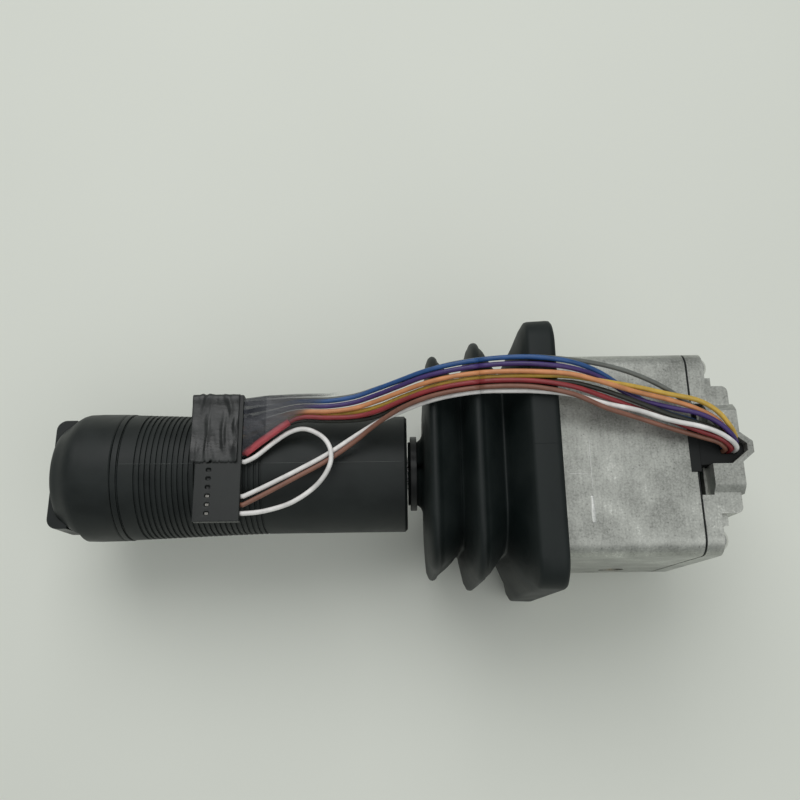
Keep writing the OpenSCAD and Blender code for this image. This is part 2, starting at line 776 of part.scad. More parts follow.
module boot_clamp() {
    color("#303030") laid() translate([0, 0, neck_z + 1.2]) difference() {
        cylinder(r = boot_neck_r + 1.7, h = 2);
        translate([0, 0, -1]) cylinder(r = boot_neck_r + slide_gap, h = 4);
    }
}

// Outside radius of the grip at height z: straight below, flaring to the cap ring.
flare_start = rib_start - 2;
function grip_radius(z) = z < flare_start ? grip_r
    : grip_r + (grip_top_r - grip_r) * pow((z - flare_start) / (grip_top - flare_start), 1.15);

// Half section of the grip shell: rings outside, three webs that clamp the stick inside.
module grip_section() {
    ribs = [for (i = [0:rib_count - 1]) let (z = rib_start + i * rib_pitch) each [
        [grip_radius(z), z], [grip_radius(z) - rib_depth, z + 0.15],
        [grip_radius(z) - rib_depth, z + rib_pitch * 0.4],
        [grip_radius(z + rib_pitch), z + rib_pitch * 0.4 + 0.15]]];
    difference() {
        polygon(concat(
            [[0, grip_base], [grip_r - 0.8, grip_base], [grip_r, grip_base + 0.8]],
            ribs, [[grip_top_r, grip_top - 0.4], [grip_top_r - 0.4, grip_top], [0, grip_top]]));
        translate([-1, 0]) square([1 + stick_d / 2 + run_gap, stick_top + 0.2]);
        for (span = [[grip_base + web_t, low_web], [low_web + web_t, top_web],
                [top_web + web_t, grip_top - 3]])
            translate([0, span[0]]) square([grip_ri, span[1] - span[0]]);
        translate([-1, top_web]) square([stick_d / 2 + 3, grip_len]);
    }
}

module grip_half() {
    difference() {
        union() {
            rotate_extrude(angle = 180) grip_section();
            // screw bosses along the back edge
            intersection() {
                for (z = grip_screw_z) translate([-boss_x_grip, 0, z])
                    rod_y(0, grip_ri, grip_head_r + 0.7);
                translate([0, 0, grip_base]) cylinder(r = grip_ri + 0.6, h = grip_len);
            }
        }
        for (z = grip_screw_z) translate([-boss_x_grip, 0, z])
            rod_y(-1, grip_screw_tip + 0.5, grip_screw_r + run_gap);
    }
}

module grip_half_left() {
    color("#1e2022") laid() difference() {
        grip_half();
        for (z = grip_screw_z) translate([-boss_x_grip, 0, z])
            rod_y(grip_screw_seat - fit_gap, grip_r + 2, grip_head_r + 0.2);
    }
}

module grip_half_right() {
    color("#1e2022") laid() mirror([0, 1, 0]) grip_half();
}

module grip_screws() {
    color("gainsboro") laid() for (z = grip_screw_z) translate([-boss_x_grip, 0, z]) {
        rod_y(-grip_screw_tip, grip_screw_seat, grip_screw_r);
        rod_y(grip_screw_seat - 0.05, grip_screw_seat + grip_head_h, grip_head_r);
    }
}

module stick_nut() {
    color("gainsboro") laid() translate([0, 0, nut_base]) difference() {
        cylinder(r = stick_d * 0.95, h = nut_h, $fn = 6);
        translate([0, 0, -1]) cylinder(d = stick_d + 2 * run_gap, h = nut_h + 2);
    }
}

module cap_ring() {
    color("#2a2c2e") laid() translate([0, 0, ring_base]) difference() {
        union() {
            cylinder(r = cap_r - 0.05, h = cap_ring_h);
            translate([0, 0, -seam_gap]) cylinder(r = cap_r - 0.7, h = cap_ring_h + 2 * seam_gap);
        }
        translate([0, 0, -1]) cylinder(r = grip_ri, h = cap_ring_h + 2);
    }
}

module cap_section() {
    difference() {
        polygon([
            [0, cap_base], [cap_r - 0.3, cap_base], [cap_r, cap_base + 0.4],
            [cap_r + 0.1, cap_base + cap_h * 0.4], [cap_r, cap_face - 8.4],
            [cap_r - 0.4, cap_face - 7], [cap_r - 1.2, cap_face - 5.6],
            [cap_r - 2.8, cap_face - 3.5], [cap_r - 4, cap_face - 1.7],
            [cap_r - 4.8, cap_face - 0.8], [cap_r - 6, cap_face - 0.2], [cap_r - 8, cap_face],
            [0, cap_face + 0.1]
        ]);
        translate([-1, cap_base - 1]) square([1 + cap_r - 2.6, switch_top - cap_base + 1]);
    }
}

module cap() {
    color("#1e2022") laid() difference() {
        rotate_extrude() cap_section();
        block([-rocker_w / 2 - slide_gap, -cap_r - 1, slot_floor],
            [rocker_w / 2 + slide_gap, cap_r + 1, cap_face + 5]);
        for (s = [-1, 1]) translate([0, s * plunger_arm, slot_floor - cap_t - 1])
            cylinder(d = plunger_d + 0.6, h = cap_t + 2);
        translate([0, 0, rocker_z]) rod_x(-pin_half - 0.2, pin_half + 0.2, rocker_pin_d / 2);
    }
}

module rocker_pin() {
    color("gainsboro") laid() translate([0, 0, rocker_z])
        rod_x(-pin_half, pin_half, rocker_pin_d / 2);
}

// Side view of the rocker, as (y, z): two round-ended pads and a dip over the pivot.
module rocker_outline() {
    r = 3.2;
    for (s = [0, 1]) mirror([s, 0]) {
        translate([rocker_half - r, pad_top - r]) circle(r = r);
        translate([rocker_gap, rocker_under + 2])
            square([rocker_half - r - rocker_gap, pad_top - rocker_under - 2]);
        translate([rocker_gap, rocker_under + 2])
            square([rocker_half - rocker_gap, pad_top - r - rocker_under - 2]);
        translate([0, rocker_under]) square([plunger_arm + 2.2, 3]);
    }
    translate([-rocker_gap - 0.5, rocker_under])
        square([2 * rocker_gap + 1, cap_face - 1.4 - rocker_under]);
}

module rocker() {
    color("#26282a") laid() difference() {
        along_x(-rocker_w / 2, rocker_w / 2) rocker_outline();
        translate([0, 0, rocker_z])
            rod_x(-rocker_w, rocker_w, rocker_pin_d / 2 + run_gap);
    }
}

module rocker_switch() {
    color("dimgray") laid() difference() {
        block([-switch_half, -switch_end, grip_top + seam_gap * 2],
            [switch_half, switch_end, switch_top - fit_gap]);
        for (s = [-1, 1]) translate([0, s * plunger_arm, grip_top + 2])
            cylinder(r = plunger_d / 2 + run_gap, h = cap_h);
    }
}

module plunger(s) {
    translate([0, s * plunger_arm, plunger_top - plunger_len])
        cylinder(d = plunger_d, h = plunger_len - 0.5);
    translate([0, s * plunger_arm, plunger_top - 0.5]) mirror([0, 0, 1])
        domed_head(plunger_d / 2, 0.5);
}

module plunger_left() {
    color("white") laid() plunger(1);
}

module plunger_right() {
    color("white") laid() plunger(-1);
}

// Return spring between the switch floor and the plunger.
module plunger_spring(s) {
    wire = 0.5;
    z0 = grip_top + 2 + wire / 2;
    h = plunger_top - plunger_len - z0 - wire / 2;
    turns = 4;
    steps = 10 * turns;
    route = [for (i = [0:steps]) let (a = 360 * turns * i / steps)
        [1.6 * cos(a), s * plunger_arm + 1.6 * sin(a), z0 + h * i / steps]];
    tube(route, wire, [0, 0, 1], 6);
}

module plunger_spring_left() {
    color("silver") laid() plunger_spring(1);
}

module plunger_spring_right() {
    color("silver") laid() plunger_spring(-1);
}

// ---------------------------------------------------------------- harness

module connector_housing() {
    color("#1a1a1c") difference() {
        block([plug_x, plug_y, plug_z], [plug_x + plug_len, plug_y + plug_w, plug_z + plug_t]);
        for (y = pin_y) block([plug_x + 3.4, y - 0.5, plug_z + plug_t - 0.9],
            [plug_x + 4.8, y + 0.5, plug_z + plug_t + 1]);
    }
}

module connector_contacts() {
    color("gainsboro") for (i = [0:2])
        block([plug_x + 3.6, pin_y[i] - 0.35, plug_z + plug_t - 0.9],
            [plug_x + 4.6, pin_y[i] + 0.35, plug_z + plug_t - 0.5]);
}

// Strip of tape over the connector's upper half and down the side of the grip.
module tape_wrap() {
    top = plug_z + plug_t + fit_gap / 2;
    edge = plug_y + plug_w + fit_gap;
    hug = grip_radius(-plug_x) + 0.3;
    down = [for (a = [15:-10:-35]) a];
    inner = concat([[-0.8, top], [edge, top], [edge, plug_z - 0.5]],
        [for (a = down) hug * [cos(a), sin(a)]]);
    outer = concat([for (i = [len(down) - 1:-1:0]) (hug + tape_t) * [cos(down[i]), sin(down[i])]],
        [[edge + tape_t, plug_z - 0.4], [edge + tape_t, top + tape_t], [-0.8, top + tape_t]]);
    color("#17181a") along_x(plug_x - 1.6, plug_x + plug_len - 1.2) polygon(concat(inner, outer));
}

// Folded film over the start of the bundle, as [x, lower y, upper y, top z, depth of the sides].
film_route = [
    [-90.8, 0.9, 19.2, 21.9, 1.2], [-84, 5.6, 19.6, 23.3, 2.2], [-75, 10.9, 19.9, 23.6, 2.6],
    [-66, 10.8, 19.9, 23.8, 2.6], [-58, 10.7, 20.6, 25.1, 2.8], [-53, 11.3, 21.9, 26.9, 3]
];

// Section of the film: a thin open trough, upside down over the wires.
function film_ring(s) =
    let (x = s[0], a = s[1], b = s[2], z = s[3], d = s[4], t = film_t, c = 0.8)
    [[x, a, z - d], [x, a, z - c], [x, a + c, z], [x, b - c, z], [x, b, z - c], [x, b, z - d],
     [x, b - t, z - d], [x, b - t, z - c - t / 2], [x, b - c - t / 2, z - t],
     [x, a + c + t / 2, z - t], [x, a + t, z - c - t / 2], [x, a + t, z - d]];

module harness_film() {
    m = len(film_route);
    n = 12;
    start = [for (j = [0:n - 1]) j];
    finish = [for (j = [n - 1:-1:0]) (m - 1) * n + j];
    color("#2b2d33") polyhedron(points = [for (s = film_route) each film_ring(s)],
        faces = concat([start], side_faces(m, n, false), [finish]));
}

// The harness wires follow one trunk line from the connector, over the boot's folds and the
// housing, to the rear cover. Each wire has its own side position and its own layer.
trunk = [
    [-90.2, 0, 20.3], [-84, 0, 20.5], [-75, 0, 20.8], [-66, 0, 21], [-58, 0, 21.8],
    [-51, 0, 24], [-44, 0, 28.6], [-37, 0, 33], [-30, 0, 35.4], [-22, 0, 37], [-14, 0, 38.6],
    [-6, 0, 39.7], [3, 0, 39.4], [12, 0, 37.4], [21, 0, 35.4], [30, 0, 33.8], [38, 0, 33]
];
layer_t = 1.5;
bend_x = -bend_z - 6.2;

// One wire: side positions and layers along the trunk, then the turn down into the cover
// with its side position before and after the turn.
module wire(side, layer, before, after) {
    last = layer[len(layer) - 1];
    level = round(last);
    r = 3.2 + layer_t * level;
    run = [for (i = [0:len(trunk) - 1])
        let (h = heading(trunk, i))
        trunk[i] + [0, side[i], 0] + layer_t * layer[i] * [-h[2], 0, h[0]]];
    turn = [for (t = [[90, 1], [55, 0.4], [25, 0.08], [0, 0]])
        [bend_x + r * cos(t[0]), after + (before - after) * t[1], 29.6 + r * sin(t[0])]];
    route = smooth_route(concat(run, turn), 2);
    start = [plug_x + plug_len, run[0][1], run[0][2]];
    tube(concat([start], route, [[bend_x + r, after, wire_end_z]]), wire_d);
}

level_0 = [for (i = [0:16]) 0];
level_1 = [0, 0.4, 1, 1, 1, 1, 1, 1, 1, 1, 1, 1, 1];

module wire_grey() {
    color("#6f736f") wire([17.8, 18.2, 18.6, 18.6, 19.4, 20.9, 21.8, 23, 24.1, 24.8, 24.8, 24.4,
        23.6, 22.8, 20.8, 17, 11.4], level_0, 7.2, wire_end_y + 1.5);
}

module wire_blue() {
    color("#2f66a8") wire([15.3, 16.2, 17.6, 17.6, 18.5, 20.1, 21.2, 22.4, 23.4, 24.2, 24.3, 23.8,
        22.4, 20.4, 15.4, 10.4, 7.2], concat(level_1, [-0.3, -1, -1, -0.2]), 3.8, wire_end_y);
}

module wire_purple() {
    color("#5a3f86") wire([12.7, 14.2, 16, 16, 16.8, 18.3, 19.5, 20.8, 21.7, 22.4, 22.4, 21.8,
        20.6, 18.7, 13.6, 10.9, 8.6], concat(level_1, [0, 0, 0.6, 1.8]), 5.8, wire_end_y);
}

module wire_orange() {
    color("#d98e5c") wire([10.2, 12.2, 14.4, 14.4, 15, 16.4, 17.6, 18.8, 19.8, 20.4, 20.2, 19.6,
        18.8, 16.2, 14.5, 12.8, 10.4], concat(level_1, [2, 1.3, 1.2, 1.1]), 7.4, wire_end_y + 1.5);
}

module wire_yellow() {
    color("#d6b24a") wire([7.6, 10.4, 13.8, 13.6, 14.2, 15.2, 16.6, 17.8, 18.8, 19.4, 19.2, 18.9,
        18.7, 17.2, 16.2, 14.4, 12.4], [for (i = [0:16]) i < 13 ? 0 : [1, 1, 1.3, 2][i - 13]],
        9.2, wire_end_y + 1.5);
}

module wire_black() {
    color("#2c2e2a") wire([5.1, 8.4, 12.1, 11.9, 11.8, 12.4, 14.2, 15.6, 16.6, 17.2, 17.2, 17,
        16.9, 14.8, 11.8, 8.6, 6.2], [for (i = [0:16]) i < 13 ? 0 : [0.6, 1, 1, 1][i - 13]],
        4.2, wire_end_y);
}

module wire_red() {
    color("#b04a48") wire([2.6, 6.8, 12.5, 12.5, 12.5, 13.3, 14.8, 16.2, 17.2, 17.8, 17.6, 16.8,
        15.2, 13, 10.6, 7.6, 4.1], [0, 1, 1, 1, 1, 1, 1, 1, 1, 1, 1, 1, 1, 0.5, 0, 0, 0.9],
        2, wire_end_y - 1.5);
}

module wire_white() {
    color("#e8e4de") wire([-10.2, -7.4, -3, 1.8, 6.8, 10.5, 12.4, 13.8, 14.8, 15.4, 15, 14.4,
        13.4, 11.2, 9.4, 6.8, 4.8], [for (i = [0:16]) i < 13 ? 0 : [0.3, 1, 1.2, 2][i - 13]],
        2.8, wire_end_y - 1.5);
}

module wire_brown() {
    color("#8a6a5c") wire([-12.7, -9.6, -4.9, -0.1, 5, 9.4, 12.6, 14.4, 15.5, 16.1, 15.9, 15,
        13, 9.6, 7.6, 5, 2.9], [0, 0, 0, 0, 0.4, 1, 1, 1, 1, 1, 1, 1, 1, 0.9, 0.3, 0.3, 0],
        1.2, wire_end_y - 1.5);
}

// Loop that joins the first and the seventh position of the connector.
jumper_route = [
    [-90.2, -15.2, 20.3], [-84, -14.6, 20.5], [-76, -12.2, 20.8], [-69, -7.4, 21.2],
    [-65.2, -2, 22.4], [-65, 3, 22.6], [-67.6, 7, 21.8], [-72.5, 9.5, 21], [-77, 8.8, 20.7],
    [-82, 5.6, 20.5], [-87, 1.6, 20.4], [-90.2, 0, 20.3]
];

module wire_jumper() {
    ends = [for (p = [jumper_route[0], jumper_route[len(jumper_route) - 1]])
        [plug_x + plug_len, p[1], p[2]]];
    route = concat([ends[0]], smooth_route(jumper_route, 3), [ends[1]]);
    color("#e8e4de") tube(route, wire_d, [0, 0, 1]);
}

housing();
pivot_bushings();
spring_posts();
fore_spring();
side_spring();
cover_gasket();
rear_cover();
cover_screws();
hood_screws();
cable_grommet();
circuit_board();
hall_sensors();
board_screws();
boot();
gimbal_yoke();
gimbal_magnet();
slotted_bail();
bail_magnet();
stick_shaft();
cross_pin();
boot_clamp();
grip_half_left();
grip_half_right();
grip_screws();
stick_nut();
cap_ring();
cap();
rocker_pin();
rocker_switch();
rocker();
plunger_left();
plunger_right();
plunger_spring_left();
plunger_spring_right();
connector_housing();
connector_contacts();
tape_wrap();
harness_film();
wire_jumper();
wire_grey();
wire_blue();
wire_purple();
wire_orange();
wire_yellow();
wire_black();
wire_red();
wire_white();
wire_brown();
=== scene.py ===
"""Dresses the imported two-axis joystick: finishes, rubber boot, harness, tape and studio.

All sizes are in metres in the model's own frame: +X runs along the stick towards the rear
cover, +Z is up, and the joystick lies on one flat side of its boot.
"""

import logging
import math
from dataclasses import dataclass, field
from enum import Enum

import bpy
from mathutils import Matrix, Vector, noise
from mathutils.bvhtree import BVHTree


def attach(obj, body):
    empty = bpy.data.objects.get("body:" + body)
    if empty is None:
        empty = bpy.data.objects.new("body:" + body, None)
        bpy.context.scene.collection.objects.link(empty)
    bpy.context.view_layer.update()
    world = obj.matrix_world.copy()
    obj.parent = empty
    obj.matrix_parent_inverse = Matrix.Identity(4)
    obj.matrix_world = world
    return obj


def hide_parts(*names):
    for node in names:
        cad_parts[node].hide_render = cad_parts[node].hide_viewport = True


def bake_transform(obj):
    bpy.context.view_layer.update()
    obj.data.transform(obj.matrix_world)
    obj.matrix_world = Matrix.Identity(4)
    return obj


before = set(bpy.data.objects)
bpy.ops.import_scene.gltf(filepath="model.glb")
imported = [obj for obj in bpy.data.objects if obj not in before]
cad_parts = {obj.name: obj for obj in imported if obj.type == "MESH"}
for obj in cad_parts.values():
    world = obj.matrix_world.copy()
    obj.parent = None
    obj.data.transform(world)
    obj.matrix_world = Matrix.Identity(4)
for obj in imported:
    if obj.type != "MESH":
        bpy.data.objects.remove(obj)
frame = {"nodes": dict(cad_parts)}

LOG = logging.getLogger("joystick")
MM = 0.001
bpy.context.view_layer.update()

Point = tuple[float, float, float]
Ends = tuple[tuple[float, float], tuple[float, float]]


# ---------------------------------------------------------------- shader helpers


class ShaderGraph:
    """Builds one material's node tree round a Principled shader."""

    def __init__(self, name: str) -> None:
        """Makes an empty material.

        Args:
            name: name of the new material.
        """
        self.material = bpy.data.materials.new(name)
        self.material.use_nodes = True
        self.tree = self.material.node_tree
        self.shader = self.tree.nodes["Principled BSDF"]
        self.coords = self.tree.nodes.new("ShaderNodeTexCoord")

    def set(self, socket: str, value: float | tuple[float, ...]) -> None:
        """Sets a constant on the Principled shader."""
        self.shader.inputs[socket].default_value = value

    def link(self, out: bpy.types.NodeSocket, into: bpy.types.NodeSocket) -> None:
        """Links two sockets."""
        self.tree.links.new(out, into)

    def mapping(self, scale: Point) -> bpy.types.NodeSocket:
        """Scales the object's own coordinates.

        Args:
            scale: scale along X, Y and Z.

        Returns:
            The mapped vector.
        """
        node = self.tree.nodes.new("ShaderNodeMapping")
        node.inputs["Scale"].default_value = scale
        self.link(self.coords.outputs["Object"], node.inputs["Vector"])
        return node.outputs["Vector"]

    def noise(self, size: float, detail: float = 3.0, stretch: Point = (1, 1, 1),
              rough: float = 0.55) -> bpy.types.NodeSocket:
        """Noise texture of a given grain size.

        Args:
            size: size of the grain, in metres.
            detail: octaves of finer noise.
            stretch: relative frequency along X, Y and Z.
            rough: strength of the finer octaves.

        Returns:
            The noise factor.
        """
        node = self.tree.nodes.new("ShaderNodeTexNoise")
        node.inputs["Scale"].default_value = 1 / size
        node.inputs["Detail"].default_value = detail
        node.inputs["Roughness"].default_value = rough
        self.link(self.mapping(stretch), node.inputs["Vector"])
        return node.outputs["Fac"]

    def along(self, axis: str) -> bpy.types.NodeSocket:
        """Reads one coordinate.

        Args:
            axis: X, Y or Z.

        Returns:
            The coordinate in metres.
        """
        node = self.tree.nodes.new("ShaderNodeSeparateXYZ")
        self.link(self.coords.outputs["Object"], node.inputs["Vector"])
        return node.outputs[axis]

    def ramp(self, factor: bpy.types.NodeSocket,
             stops: list[tuple[float, tuple[float, float, float]]]) -> bpy.types.NodeSocket:
        """Turns a factor into colour.

        Args:
            factor: the factor to read.
            stops: positions from 0 to 1 with their colours.

        Returns:
            The colour.
        """
        node = self.tree.nodes.new("ShaderNodeValToRGB")
        elements = node.color_ramp.elements
        while len(elements) < len(stops):
            elements.new(0.5)
        for element, (place, colour) in zip(elements, stops):
            element.position = place
            element.color = (*colour, 1)
        self.link(factor, node.inputs["Fac"])
        return node.outputs["Color"]

    def spread(self, factor: bpy.types.NodeSocket, low: float, high: float,
               start: float = 0.3, end: float = 0.7) -> bpy.types.NodeSocket:
        """Maps a factor's middle range to a range of values.

        Args:
            factor: the factor to read.
            low: value at the start of the range.
            high: value at its end.
            start: factor at which the range starts.
            end: factor at which it ends.

        Returns:
            The mapped value.
        """
        node = self.tree.nodes.new("ShaderNodeMapRange")
        for socket, value in zip(("From Min", "From Max", "To Min", "To Max"),
                                 (start, end, low, high)):
            node.inputs[socket].default_value = value
        self.link(factor, node.inputs["Value"])
        return node.outputs["Result"]

    def math(self, kind: str, a: bpy.types.NodeSocket,
             b: bpy.types.NodeSocket | float) -> bpy.types.NodeSocket:
        """Combines a value with another value or number.

        Args:
            kind: Blender's name of the operation.
            a: the value.
            b: the other value or number.

        Returns:
            The result.
        """
        node = self.tree.nodes.new("ShaderNodeMath")
        node.operation = kind
        self.link(a, node.inputs[0])
        if isinstance(b, (int, float)):
            node.inputs[1].default_value = b
        else:
            self.link(b, node.inputs[1])
        return node.outputs["Value"]

    def bump(self, heights: list[tuple[bpy.types.NodeSocket, float]]) -> None:
        """Chains bumps into the shader's normal.

        Args:
            heights: height factors with their depth in metres.
        """
        normal = None
        for height, depth in heights:
            node = self.tree.nodes.new("ShaderNodeBump")
            node.inputs["Strength"].default_value = 1.0
            node.inputs["Distance"].default_value = depth
            self.link(height, node.inputs["Height"])
            if normal is not None:
                self.link(normal, node.inputs["Normal"])
            normal = node.outputs["Normal"]
        self.link(normal, self.shader.inputs["Normal"])


# ---------------------------------------------------------------- finishes


@dataclass(frozen=True)
class Finish:
    """A surface finish that can make its Blender material."""

    name: str

    def build(self) -> bpy.types.Material:
        """Makes the material."""
        raise NotImplementedError


@dataclass(frozen=True)
class CastMetal(Finish):
    """Raw die-cast metal: mottled skin, small pits and flow marks."""

    dark: tuple[float, float, float] = (0.22, 0.226, 0.208)
    light: tuple[float, float, float] = (0.47, 0.48, 0.445)
    spark: tuple[float, float, float] = (0.8, 0.82, 0.77)
    roughness: float = 0.36
    metallic: float = 0.6

    def build(self) -> bpy.types.Material:
        """Makes the material.

        Returns:
            The material.
        """
        g = ShaderGraph(self.name)
        broad = g.noise(26 * MM, 2)
        patches = g.noise(7 * MM, 5, rough=0.6)
        speckle = g.noise(0.6 * MM, 4, rough=0.65)
        brush = g.noise(0.7 * MM, 3, stretch=(1, 0.1, 1))
        factor = g.math("ADD", g.math("MULTIPLY", patches, 0.3), g.math("MULTIPLY", broad, 0.26))
        factor = g.math("ADD", factor, g.math("MULTIPLY", speckle, 0.32))
        factor = g.math("ADD", factor, g.math("MULTIPLY", brush, 0.12))
        middle = tuple(0.5 * (a + b) for a, b in zip(self.dark, self.light))
        g.link(g.ramp(factor, [(0.39, self.dark), (0.48, middle), (0.57, self.light),
                               (0.66, self.spark)]), g.shader.inputs["Base Color"])
        g.set("Metallic", self.metallic)
        g.link(g.spread(speckle, self.roughness - 0.1, self.roughness + 0.16),
               g.shader.inputs["Roughness"])
        g.bump([(speckle, 0.018 * MM), (brush, 0.012 * MM), (patches, 0.12 * MM)])
        return g.material


@dataclass(frozen=True)
class Plastic(Finish):
    """Moulded plastic with an eroded grain."""

    colour: tuple[float, float, float] = (0.0085, 0.0112, 0.0108)
    worn: tuple[float, float, float] = (0.0165, 0.0205, 0.0198)
    roughness: float = 0.5
    specular: float = 0.3
    grain: float = 0.35 * MM
    depth: float = 0.012 * MM

    def build(self) -> bpy.types.Material:
        """Makes the material.

        Returns:
            The material.
        """
        g = ShaderGraph(self.name)
        grain = g.noise(self.grain, 2)
        haze = g.noise(9 * MM, 4)
        g.link(g.ramp(haze, [(0.3, self.colour), (0.72, self.worn)]),
               g.shader.inputs["Base Color"])
        g.link(g.spread(haze, self.roughness - 0.07, self.roughness + 0.09),
               g.shader.inputs["Roughness"])
        g.set("Specular IOR Level", self.specular)
        g.bump([(grain, self.depth)])
        return g.material


@dataclass(frozen=True)
class Rubber(Finish):
    """Moulded rubber: matte, a little dusty, with a soft orange-peel skin."""

    colour: tuple[float, float, float] = (0.0016, 0.0046, 0.0045)
    dust: tuple[float, float, float] = (0.011, 0.0155, 0.015)
    roughness: float = 0.52
    specular: float = 0.28

    def build(self) -> bpy.types.Material:
        """Makes the material.

        Returns:
            The material.
        """
        g = ShaderGraph(self.name)
        skin = g.noise(0.6 * MM, 3)
        film = g.noise(11 * MM, 5, stretch=(1, 0.5, 0.5))
        g.link(g.ramp(film, [(0.32, self.colour), (0.7, self.dust)]),
               g.shader.inputs["Base Color"])
        g.link(g.spread(film, self.roughness - 0.06, self.roughness + 0.1),
               g.shader.inputs["Roughness"])
        g.set("Specular IOR Level", self.specular)
        g.bump([(skin, 0.015 * MM), (film, 0.08 * MM)])
        return g.material


@dataclass(frozen=True)
class Metal(Finish):
    """Machined or plated metal with faint turning marks."""

    colour: tuple[float, float, float] = (0.6, 0.6, 0.59)
    roughness: float = 0.28
    marks: Point = (1, 1, 1)

    def build(self) -> bpy.types.Material:
        """Makes the material.

        Returns:
            The material.
        """
        g = ShaderGraph(self.name)
        marks = g.noise(0.4 * MM, 3, stretch=self.marks)
        tone = g.noise(3 * MM, 3)
        low = tuple(0.78 * c for c in self.colour)
        g.link(g.ramp(tone, [(0.3, low), (0.7, self.colour)]), g.shader.inputs["Base Color"])
        g.set("Metallic", 1.0)
        g.link(g.spread(marks, self.roughness - 0.06, self.roughness + 0.1),
               g.shader.inputs["Roughness"])
        g.bump([(marks, 0.006 * MM)])
        return g.material


@dataclass(frozen=True)
class Insulation(Finish):
    """Extruded PVC wire insulation."""

    colour: tuple[float, float, float] = (0.5, 0.5, 0.5)
    roughness: float = 0.36

    def build(self) -> bpy.types.Material:
        """Makes the material.

        Returns:
            The material.
        """
        g = ShaderGraph(self.name)
        tone = g.noise(4 * MM, 3)
        low = tuple(0.72 * c for c in self.colour)
        g.link(g.ramp(tone, [(0.3, low), (0.65, self.colour)]), g.shader.inputs["Base Color"])
        g.link(g.spread(tone, self.roughness - 0.05, self.roughness + 0.08),
               g.shader.inputs["Roughness"])
        g.set("Subsurface Weight", 0.05)
        g.set("Subsurface Radius", (0.3 * MM, 0.3 * MM, 0.3 * MM))
        g.bump([(g.noise(0.8 * MM, 2), 0.01 * MM)])
        return g.material


@dataclass(frozen=True)
class Film(Finish):
    """Thin vinyl tape or film with fine wrinkles."""

    colour: tuple[float, float, float] = (0.008, 0.0088, 0.0088)
    sheen: tuple[float, float, float] = (0.022, 0.0245, 0.024)
    roughness: float = 0.34
    clear: float = 0.0
    crease: float = 0.22 * MM
    fade_from: float = -84 * MM
    fade_to: float = -60 * MM
    edge_slope: float = -0.63
    edge_from: float = 59.2 * MM
    edge_to: float = 61.6 * MM

    def build(self) -> bpy.types.Material:
        """Makes the material.

        Returns:
            The material.
        """
        g = ShaderGraph(self.name)
        folds = g.noise(3.5 * MM, 4, stretch=(0.5, 1, 1))
        fine = g.noise(0.5 * MM, 3)
        g.link(g.ramp(folds, [(0.35, self.colour), (0.68, self.sheen)]),
               g.shader.inputs["Base Color"])
        g.link(g.spread(folds, self.roughness - 0.08, self.roughness + 0.14),
               g.shader.inputs["Roughness"])
        if self.clear:
            body = g.spread(folds, 1 - self.clear, 1 - 0.5 * self.clear)
            fade = g.spread(g.along("X"), 1, 0, self.fade_from, self.fade_to)
            inward = g.math("ADD", g.along("Y"), g.math("MULTIPLY", g.along("X"), self.edge_slope))
            edge = g.spread(inward, 0.12, 1, self.edge_from, self.edge_to)
            alpha = g.math("MULTIPLY", g.math("MULTIPLY", body, fade), edge)
            g.link(alpha, g.shader.inputs["Alpha"])
        g.bump([(folds, self.crease), (fine, 0.008 * MM)])
        return g.material


class Finishes:
    """The finishes of this joystick, each built once and shared."""

    def __init__(self) -> None:
        """Builds every material."""
        wire = {
            "grey": (0.16, 0.17, 0.155), "blue": (0.022, 0.09, 0.27),
            "purple": (0.055, 0.028, 0.155), "orange": (0.68, 0.29, 0.12),
            "yellow": (0.66, 0.43, 0.07), "black": (0.022, 0.024, 0.018),
            "red": (0.3, 0.032, 0.038), "white": (0.86, 0.84, 0.82),
            "brown": (0.24, 0.105, 0.07),
        }
        kinds = [
            CastMetal("cast_zinc"),
            CastMetal("cast_bright", dark=(0.4, 0.41, 0.39), light=(0.7, 0.71, 0.68)),
            Plastic("flash", (0.03, 0.035, 0.034), (0.09, 0.097, 0.094), 0.45),
            CastMetal("inner_casting", dark=(0.2, 0.2, 0.21), light=(0.42, 0.43, 0.44)),
            Metal("brass", (0.95, 0.66, 0.26), 0.42),
            Metal("bright_steel", (0.6, 0.6, 0.6), 0.25, (0.1, 1, 1)),
            Metal("spring_steel", (0.25, 0.25, 0.26), 0.35),
            Metal("zinc_plate", (0.72, 0.72, 0.7), 0.2),
            Metal("tinned", (0.2, 0.195, 0.18), 0.4),
            Rubber("boot_rubber"),
            Rubber("seal_rubber", (0.004, 0.005, 0.005), (0.01, 0.012, 0.012), 0.55),
            Plastic("grip_plastic"),
            Plastic("cap_plastic", roughness=0.46),
            Plastic("rocker_plastic", (0.008, 0.0105, 0.0102), (0.016, 0.0195, 0.019), 0.42),
            Plastic("switch_plastic", (0.08, 0.08, 0.085), (0.12, 0.12, 0.12)),
            Plastic("plunger_plastic", (0.6, 0.6, 0.57), (0.7, 0.7, 0.67), 0.4),
            Plastic("plug_plastic", (0.01, 0.0115, 0.011), (0.024, 0.027, 0.026), 0.38),
            Plastic("black_coat", (0.008, 0.0095, 0.0095), (0.02, 0.022, 0.022), 0.34),
            Plastic("chip_plastic", (0.015, 0.015, 0.016), (0.03, 0.03, 0.03)),
            Plastic("board_lacquer", (0.01, 0.09, 0.04), (0.02, 0.14, 0.07), 0.25),
            Film("tape_vinyl"),
            Film("wrap_film", (0.018, 0.019, 0.024), (0.06, 0.063, 0.072), 0.26, 0.42, 0.4 * MM),
            Insulation("sleeve_insulation", (0.6, 0.09, 0.11)),
        ] + [Insulation(f"{c}_insulation", rgb) for c, rgb in wire.items()]
        self.made = {kind.name: kind.build() for kind in kinds}

    def __getitem__(self, name: str) -> bpy.types.Material:
        """The material of that name."""
        return self.made[name]


# ---------------------------------------------------------------- mesh helpers


